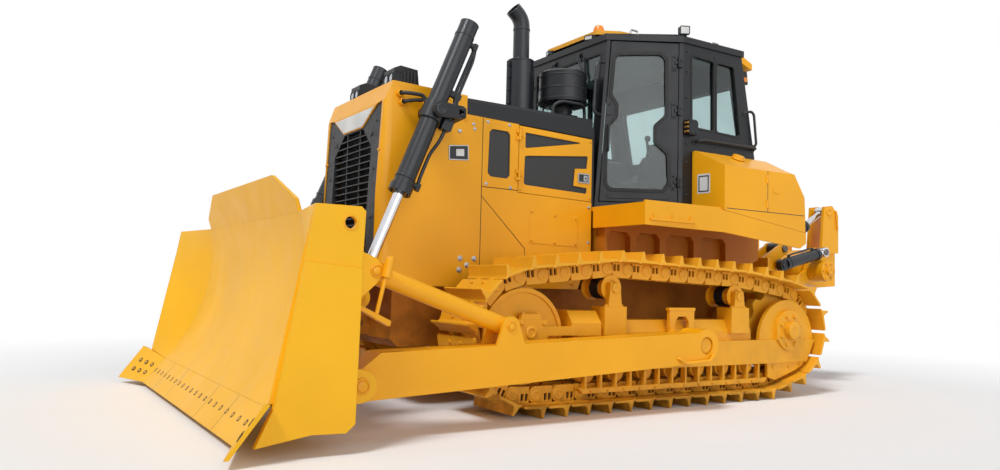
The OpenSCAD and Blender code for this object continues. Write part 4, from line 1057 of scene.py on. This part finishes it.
def cab_outside():
    windscreen = lambda a, b, w: P(*screen_raw(a, b, w))
    rear_glass = front_plane(-2807, 0.2, 2285, -1)
    seals, rails, fit, bolts = shapes(4)
    for side in (1, -1):
        for pane in SIDE_PANES:
            gasket(seals, side_plane(side * CAB_SIDE), pane, 12, 8, -20, 4, 30)
    gasket(seals, windscreen, [(-470, 2330), (470, 2330), (520, 3150), (-520, 3150)], 14, 8, -10, 4, 30)
    gasket(seals, rear_glass, rect(-800, 2400, 800, 2985), 14, 8, -24, 4, 40)
    seals.done("window_seals", rubber, bevel=2)
    rails.pipe([(-1190, 588, 3046), (-1110, 604, 3042), (-1082, 606, 2990), (-1056, 606, 2600),
                (-1072, 604, 2562), (-1165, 575, 2556)], 28, 14)
    rails.pipe([(-1990, 945, 2350), (-1990, 996, 2356), (-2040, 1000, 2372), (-2730, 1000, 2376),
                (-2775, 996, 2372), (-2775, 945, 2366)], 30, 14)
    rails.pipe([(-2660, 945, 2716), (-2712, 986, 2734), (-2752, 988, 2708), (-2790, 986, 2410),
                (-2772, 945, 2388)], 30, 13)
    # Wipers on the windscreen
    rails.tube([screen_raw(182, 3215, 8), screen_raw(190, 3190, 26), screen_raw(300, 2960, 22)], 7, 8)
    rails.tube([screen_raw(206, 3215, 8), screen_raw(214, 3190, 26), screen_raw(322, 2964, 22)], 6, 8)
    rails.strip([screen_raw(280, 3160, 4), screen_raw(350, 2740, 4)], X, 14, 14)
    fit.turned(screen_raw(194, 3210, 0), X, [(0, 26), (12, 26), (20, 16), (22, 0)], 20)
    # Valve box on the post and feet of the rails
    fit.slab(side_plane(CAB_SIDE), [(-1850, 2402), (-1962, 2402), (-1962, 2520), (-1940, 2542), (-1850, 2542)],
             12, 0, 66)
    taps = Shape()
    for z in (2430, 2470, 2510):
        for y in (970, 1000):
            taps.turned((-1850, y, z), X, [(0, 13), (8, 13), (9, 9), (20, 9), (21, 0)], 6)
    taps.both().done("valve_taps", brass)
    bolts.side_bolts(CAB_SIDE + 66, ((-1880, 2425), (-1935, 2425), (-1880, 2520)), 8, 6)
    for x, z in ((-1990, 2350), (-2775, 2366), (-2660, 2716), (-2772, 2388)):
        fit.turned((x, CAB_SIDE - 1, z), Y, [(0, 30), (5, 30), (7, 24), (7, 0)], 20)
    # Bolts down the post behind the door, and above and below the side panes
    bolts.side_bolts(CAB_SIDE, [(-1880, z) for z in (1850, 2150, 2330, 2760, 3000, 3190)], 10, 8)
    bolts.side_bolts(CAB_SIDE, [(-2250, z) for z in (1850, 2150, 2330, 3190)], 9, 7)
    rails.both().done("cab_rails", black)
    fit.both().done("cab_fittings", dark, bevel=2)
    bolts.both().done("cab_bolts", dark_gloss)
    roof = Shape()
    for path in ([(-1385, 720, 3316), (-1385, 720, 3358), (-1468, 720, 3358), (-1468, 720, 3316)],
                 [(-2255, 900, 3316), (-2255, 900, 3352), (-2340, 900, 3352), (-2340, 900, 3316)]):
        roof.pipe(path, 14, 9)
    roof.both().done("roof_eyes", zinc)
    ribs, beacon = shapes(2)
    for x in (-1950, -2080, -2210, -2340):
        ribs.plate(top_plane(3372), rect(x - 22, -640, x + 22, 640, 20), -1, 8)
    beacon.turned((-1350, 300, 3411), Z,
                  [(0, 62), (8, 62), (12, 56), (50, 52), (78, 40), (90, 20), (93, 0)], 28)
    ribs.done("roof_ribs", dark, bevel=3)
    beacon.done("beacon", amber)


cab_outside()


LAMP_Z = 2612


def lamp_faces():
    rims, lenses, bowls, faces = shapes(4)
    for y in (308, 402):
        rims.ring((843, y, LAMP_Z), (858, y, LAMP_Z), 46, 38)
        bowls.turned((844, y, LAMP_Z), X, [(0, 39), (2, 38), (4, 20), (5, 0)], 24)
        lenses.turned((848, y, LAMP_Z), X, [(0, 38), (4, 37), (7, 24), (8, 0)], 24)
    for z in (2560, 2664):
        rims.strip([(780, 452, z), (844, 452, z)], Y, 8, 4)
    for x in (660, 690, 720, 750):
        rims.plate(side_plane(450), rect(x, 2560, x + 14, 2680, 6), 0, 8)
    # Lamps under the front visor and at the corners of the roof, turned a little outwards
    for origin, along, half, tall in (((-1212, 328, 3346), (-0.35, 0.94, 0), 44, 24),
                                      ((-1828, 964, 3374), DOOR_DIR, 46, 40)):
        at = plane_at(origin, along, Z)
        box = rect(-half, -tall, half, tall, 10)
        rims.plate(at, box, -18, 10)
        rims.plate(at, box, 9, 16, [offset(box, -7)])
        faces.plate(at, offset(box, -7), 9, 13)
    at = front_plane(-2822, facing=-1)
    for y in (180, 480):
        glass = rect(y - 70, 3040, y + 70, 3130, 14)
        bowls.plate(at, glass, 0, 2)
        lenses.plate(at, glass, 2, 6)
    rims.both().done("lamp_rims", black, bevel=1.5)
    bowls.both().done("lamp_bowls", chrome)
    faces.both().done("lamp_faces", pale, bevel=1)
    lenses.both().done("lamp_lenses", lens_glass, bevel=1)


lamp_faces()


def rear_visor():
    """Ends of the rear visor and of the housing below it."""
    visor, housing = shapes(2)
    outline = [(-2630, 3321), (-2630, 3262), (-2640, 3235), (-2828, 3176), (-2828, 3240)]
    visor.plate(across, outline, 715, 900)
    housing.slab(across, [(-2664, 3040), (-2644, 3150), (-2800, 3168), (-2816, 3036)], 10, 615, 860)
    visor.both().done("visor_ends", yellow, bevel=4)
    housing.both().done("housing_ends", dark, bevel=4)
    signal = Shape()
    signal.slab(side_plane(860), [(-2690, 3052), (-2780, 3056), (-2776, 3100), (-2686, 3096)], 8, 0, 22)
    signal.both().done("rear_signals", amber, bevel=2)


rear_visor()


def yokes():
    """Yokes of the lift cylinders, with rounded arms and pin caps."""
    arms, caps = shapes(2)
    end = arc(YOKE_X, YOKE_Z, 60, [math.radians(100 - 20 * k) for k in range(11)])
    outline = [(500, 2236), (500, 2328), (600, 2334)] + end + [(600, 2228)]
    hole = arc(YOKE_X, YOKE_Z, 38.6, turns(28))
    for y in (711, 956):
        arms.plate(across, outline, y, y + 32, [hole])
    arms.slab(front_plane(0), [(618, 2214), (988, 2240), (988, 2324), (618, 2346)], [2, 24, 24, 2], 482, 546)
    caps.turned((YOKE_X, 988, YOKE_Z), Y, dish((7, 9, 5), (46, 42, 30, 27)), 28)
    for z in (2236, 2326):
        caps.bolt((546, 660, z), X, 12, 10)
        caps.bolt((514, 988, YOKE_Z + (z - 2281) * 0.5), Y, 11, 9)
    arms = arms.both().done("yoke_arms", dark, bevel=4)
    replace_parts(arms, "lift_yokes")
    caps.both().done("yoke_caps", dark_gloss)


yokes()


def cab_inside():
    soft, dash, keys = shapes(3)
    soft.slab(top_plane(3256), [(-1264, 530), (-1816, 858), (-2560, 880), (-2560, -880), (-1816, -858),
                                (-1264, -530)], 30, -30, 0)
    soft.plate(front_plane(-2744), rect(-880, 1768, 880, 2280, 20), 0, 10)
    for s in (1, -1):
        soft.slab(side_plane(s * 898), [(-1960, 1768), (-2730, 1768), (-2730, 2440), (-1960, 2450)], 30, 0, -10)
    soft.done("cab_lining", lining, bevel=4)
    for s in (1, -1):
        rest = rounded([(-1985, 2262), (-2340, 2262), (-2340, 2318), (-2020, 2318)], 24)
        dash.plate(across, rest, s * 405 - 62, s * 405 + 62)
        dash.turned((-1930, s * 400, 2250), (0.17, 0, 0.98),
                    [(0, 44), (20, 40), (30, 28), (46, 30), (60, 18), (66, 14)], 24)
        for k in range(3):
            y = s * 352 + 30 * k
            keys.plate(top_plane(2260), rect(-1915, y - 9, -1897, y + 9, 4), 0, 8)
    dash.plate(front_plane(-1330, -0.3, 2262, -1), rect(-130, 2258, 130, 2410, 16), 0, 40)
    keys.plate(front_plane(-1370, -0.3, 2262, -1), rect(-112, 2274, 112, 2394, 8), 0, 2)
    # Pedals
    for y in (-160, 0, 160):
        dash.plate(front_plane(-1480, -0.5, 1800), rect(y - 45, 1800, y + 45, 1920, 14), -12, 0)
        dash.rod((-1475, y, 1860), (-1535, y, 1862), 12)
    dash.done("cab_controls", black, bevel=4)
    keys.done("cab_switches", dark_gloss, bevel=1.5)


cab_inside()


# Seat

PAD_MESH = 0.010
CLOTH_FRAMES = 20


def pad(name, outline, half, limit):
    """A padded cushion: the outline drawn out across the seat and swollen by a cloth run, by limit at most."""
    shape = Shape()
    shape.plate(across, rounded(outline, 34, 6), -half, half)
    obj = shape.done(name, leather)
    mod = obj.modifiers.new("even", "REMESH")
    mod.mode = "VOXEL"
    mod.voxel_size = PAD_MESH
    bake(obj)
    rest = [v.co.copy() for v in obj.data.vertices]
    cloth = obj.modifiers.new("swell", "CLOTH")
    cloth.settings.use_pressure = True
    cloth.settings.uniform_pressure_force = 4.0
    cloth.settings.effector_weights.gravity = 0.0
    cloth.settings.quality = 5
    for f in range(1, CLOTH_FRAMES + 1):
        scene.frame_set(f)
    bake(obj)
    scene.frame_set(1)
    for v, q in zip(obj.data.vertices, rest):
        d = v.co - q
        if d.length > limit:
            v.co = q + d * (limit / d.length)
    obj.data.shade_smooth()
    sub = obj.modifiers.new("soft", "SUBSURF")
    sub.levels = sub.render_levels = 1
    return obj


def bake(obj):
    """Puts what the modifiers make of the piece into its mesh."""
    deps = bpy.context.evaluated_depsgraph_get()
    mesh = bpy.data.meshes.new_from_object(obj.evaluated_get(deps))
    mesh.name = obj.name
    obj.modifiers.clear()
    obj.data = mesh


def seat():
    cushion = pad("seat_cushion", [(-2470, 1990), (-1985, 1984), (-1985, 2058), (-2010, 2070), (-2470, 2054)],
                  235, 0.022)
    pad("seat_back", [(-2482, 2100), (-2416, 2100), (-2474, 2500), (-2488, 2560), (-2534, 2560)], 225, 0.022)
    pad("seat_head", [(-2505, 2600), (-2478, 2600), (-2490, 2700), (-2542, 2700)], 130, 0.014)
    base = Shape()
    base.box((-2470, -225, 1762), (-2030, 225, 1790))
    for k in range(5):
        d = 12 * (k % 2)
        base.plate(top_plane(1790 + 30 * k), rect(-2440 + d, -200 + d, -2060 - d, 200 - d, 30), 0, 30)
    base.plate(top_plane(1938), rect(-2490, -245, -1975, 245, 30), 0, 22)
    base.plate(front_plane(-2500, -0.125, 2080), rect(-215, 1945, 215, 2560, 40), -10, 0)
    for y in (-70, 70):
        base.rod((-2545, y, 2540), (-2528, y, 2640), 9)
    base.done("seat_base", black, bevel=3)
    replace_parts(cushion, "seat")


seat()


# Deck and tanks

TANK_SIDE = 1310
DECK = 1700


def tank_front(a, b, w):
    """The slanted front of the side tank."""
    return P(-1951 - (a - 970) * 43 / 340 + w, a, b)


def tanks():
    seams, plates, treads, bolts = shapes(4)
    seams.plate(side_plane(TANK_SIDE), rect(-2568, 1712, -2562, 2098), 0, 1)
    seams.plate(side_plane(TANK_SIDE), rect(-2020, 1712, -3090, 1718), 0, 1)
    for z in (1790, 2020):
        plates.rod((-2550, 1313, z - 40), (-2550, 1313, z + 40), 9)
    plates.plate(side_plane(TANK_SIDE), rect(-2640, 1900, -2720, 1950, 8), 0, 6)
    seams.both().done("tank_seams", dark_parts_and_shade)
    # Bare light plate on the front of the tank
    label = Shape()
    label.plate(tank_front, rect(1017, 1858, 1155, 2038, 8), 0, 3)
    label.both().done("tank_plate", pale, bevel=0.8)
    frame_line = Shape()
    frame_line.plate(tank_front, rect(1031, 1874, 1141, 2022, 8), 2.5, 4.5, [rect(1041, 1884, 1131, 2012, 6)])
    frame_line.both().done("tank_plate_rim", dark)
    plates.turned((-2420, 1080, 2222), (0, 0.45, 0.89),
                  [(0, 64), (10, 64), (14, 58), (34, 54), (38, 40), (38, 0)], 28)
    plates.both().done("tank_fittings", yellow, bevel=1.5)
    treads.slab(top_plane(DECK), [(-1075, 660), (-1075, 1285), (-1930, 1285), (-1930, 975), (-1840, 975),
                                  (-1160, 660)], 20, 0, 4)
    for i in range(14):
        for j in range(10):
            x, y = -1110 - 60 * i, 700 + 60 * j + 30 * (i % 2)
            if y < 1270 and y > 680 + (-1160 - x) * 0.46:
                treads.strip([(x - 14, y - 8, DECK + 3.5), (x + 14, y + 8, DECK + 3.5)], Z, 7, 3)
    treads.both().done("deck_treads", dark)
    bolts.box((-1624, 1309, 1548), (-1104, 1328, 1568))
    for x in (-1150, -1360, -1570):
        bolts.plate(side_plane(1309), [(x - 10, 1566), (x + 10, 1566), (x + 10, 1610), (x - 10, 1590)], 0, 12)
    bolts.both().done("deck_step", yellow, bevel=2)


tanks()


# Ripper

# Pivots in x and z: link to beam, and the base and the eye of each cylinder
RIPPER_PIN = (-4068, 1219)
TILT_BASE, TILT_EYE = (-3630, 1440), (-4398, 1889)
RAISE_BASE, RAISE_EYE = (-3420, 1260), (-4100, 1420)


def ripper():
    at = lambda pivot, y: (pivot[0], y, pivot[1])
    make = lambda r: dish((7, 10, 5), (r, r * 0.9, r * 0.6, r * 0.55))
    pins = Shape()
    pins.turned(at(RIPPER_PIN, 900), Y, make(44), 28)
    pins.side_bolts(880, arc(*RIPPER_PIN, 84, turns(6)), 13, 11)
    pins.both().done("ripper_pin_caps", yellow, "ripper_pins")
    mount = Shape()
    mount.turned((-3300, 755, 770), Y, make(60), 28)
    mount.slab(side_plane(755), [(-3262, 850), (-3312, 850), (-3322, 830), (-3262, 830)], 6, 0, 8)
    for y in (-520, -260, 0, 260, 520):
        for z in (930, 1290):
            mount.bolt((-3300, y, z), (-1, 0, 0), 18, 14)
    mount.both().done("mount_caps", yellow)
    upper = Shape()
    upper.turned(at(TILT_BASE, 670), Y, make(35), 24)
    upper.turned(at(TILT_BASE, 430), (0, -1, 0), make(35), 24)
    upper.both().done("upper_pin_caps", steel, "upper_pins")
    beam = Shape()
    for y, s in ((650, 1), (450, -1)):
        beam.turned(at(TILT_EYE, y), (0, s, 0), make(46), 24)
    beam.pipe([(-4515, 648, 1900), (-4515, 664, 1900), (-4540, 664, 1700), (-4540, 648, 1690)], 12, 9)
    beam.both()
    for y in (-48, 48):
        beam.slab(side_plane(y), [(-4530, 1455), (-4285, 1455), (-4300, 1560), (-4515, 1560)], 20, 0, 20)
    beam.done("beam_caps", yellow, "ripper_beam", bevel=2)
    shank = Shape()
    shank.slab(across, [(-4385, 405), (-4262, 440), (-4120, 232), (-4078, 204), (-4178, 204)], 10, -52, 52)
    shank.slab(across, [(-4318, 900), (-4305, 900), (-4305, 660), (-4258, 460), (-4300, 470)], 6, -50, 50)
    shank.done("shank_shoe", steel, "ripper_beam", bevel=4)
    for name, a, b, y, r, end in (("tilt", TILT_BASE, TILT_EYE, 550, 62, 560),
                                  ("rip_lift", RAISE_BASE, RAISE_EYE, 800, 58, 590)):
        p = Vector(at(a, y))
        d = (Vector(at(b, y)) - p).normalized()
        n = (Vector(Z) - d * d.z).normalized()
        bands = Shape()
        bands.ring(p + d * (end - 50), p + d * (end - 4), r + 7, r - 1)
        bands.ring(p + d * 90, p + d * 106, r + 4, r - 1)
        for t in (120, end - 80):
            bands.rod(p + d * t + n * (r - 6), p + d * t + n * (r + 26), 17)
        bands.pipe([p + d * (end - 80) + n * (r + 20), p + d * (end - 130) + n * (r + 24),
                    p + d * 170 + n * (r + 24), p + d * 122 + n * (r + 20)], 20, 9)
        bands.both().done(name + "_bands", dark_gloss, name + "_barrels", bevel=1.5)
    for name, pivot, r, mat, body in (("rip_eye_caps", RAISE_EYE, 34, steel, "rip_lift_rods"),
                                      ("rip_base_caps", RAISE_BASE, 38, dark_gloss, "rip_lift_barrels")):
        Shape().turned(at(pivot, 833), Y, make(r), 24).both().done(name, mat, body)


ripper()


# Camera, floor and light

FOCAL = 0.8019  # focal length of the photo over its width
SENSOR = 36.0
EYE = (3471, 6227, 982)
YAW, PITCH, ROLL = math.radians(-122.34), math.radians(3.57), math.radians(1.41)


def camera():
    """The camera fitted to the photo."""
    flat = math.cos(PITCH)
    d = Vector((math.cos(YAW) * flat, math.sin(YAW) * flat, math.sin(PITCH)))
    r = d.cross(Vector(Z)).normalized()
    u = r.cross(d)
    right = math.cos(ROLL) * r + math.sin(ROLL) * u
    up = -math.sin(ROLL) * r + math.cos(ROLL) * u
    data = bpy.data.cameras.new("camera")
    data.sensor_fit = "HORIZONTAL"
    data.sensor_width = SENSOR
    data.lens = FOCAL * SENSOR
    data.clip_end = 400
    cam = bpy.data.objects.new("camera", data)
    m = Matrix((right, up, -d)).transposed().to_4x4()
    m.translation = P(*EYE)
    cam.matrix_world = m
    scene.collection.objects.link(cam)
    scene.camera = cam


def pale_floor():
    bm = bmesh.new()
    bmesh.ops.create_grid(bm, x_segments=2, y_segments=2, size=60)
    mesh = bpy.data.meshes.new("floor")
    bm.to_mesh(mesh)
    bm.free()
    m = Nodes("floor_pale")
    m.set(Base_Color=m.mix(m.noise(0.6, 3), srgb(243, 243, 243), srgb(247, 247, 247)),
          Roughness=m.drift(3, 3, 0.85, 0.95), Specular_IOR_Level=0.1)
    # Far from the machine the floor fades into the white background
    far = m.add("ShaderNodeVectorMath", {0: m.coord}, operation="LENGTH").outputs["Value"]
    white = m.add("ShaderNodeEmission", {}).outputs[0]
    fade = m.math("MULTIPLY", m.ramp(far, 4.5, 8.5), m.seen())
    both = m.add("ShaderNodeMixShader", {0: fade, 1: m.bsdf.outputs[0], 2: white})
    m.put(both.outputs[0], m.t.nodes["Material Output"].inputs["Surface"])
    mesh.materials.append(m.mat)
    floor = bpy.data.objects.new("floor", mesh)
    floor.location.z = -0.002
    scene.collection.objects.link(floor)


def sky():
    """A bluish light from all round, behind a white background."""
    world = bpy.data.worlds.new("studio")
    scene.world = world
    world.use_nodes = True
    world.node_tree.nodes.clear()
    w = Tree(world.node_tree)
    light = w.add("ShaderNodeBackground", {"Color": (0.95, 0.97, 1.0, 1.0), "Strength": 0.36})
    white = w.add("ShaderNodeBackground", {"Color": (1.0, 1.0, 1.0, 1.0), "Strength": 1.0})
    both = w.add("ShaderNodeMixShader", {0: w.seen(), 1: light.outputs[0], 2: white.outputs[0]})
    w.add("ShaderNodeOutputWorld", {0: both.outputs[0]})


def sun(name, strength, angle, towards):
    data = bpy.data.lights.new(name, "SUN")
    data.energy = strength
    data.angle = math.radians(angle)
    obj = bpy.data.objects.new(name, data)
    obj.rotation_mode = "QUATERNION"
    obj.rotation_quaternion = Vector(towards).to_track_quat("-Z", "Y")
    scene.collection.objects.link(obj)


camera()
pale_floor()
sky()
sun("key", 1.85, 14, (-0.62, -0.3, -1.0))
sun("fill", 0.98, 50, (-0.05, -1.0, -0.25))
scene.view_settings.view_transform = "Standard"
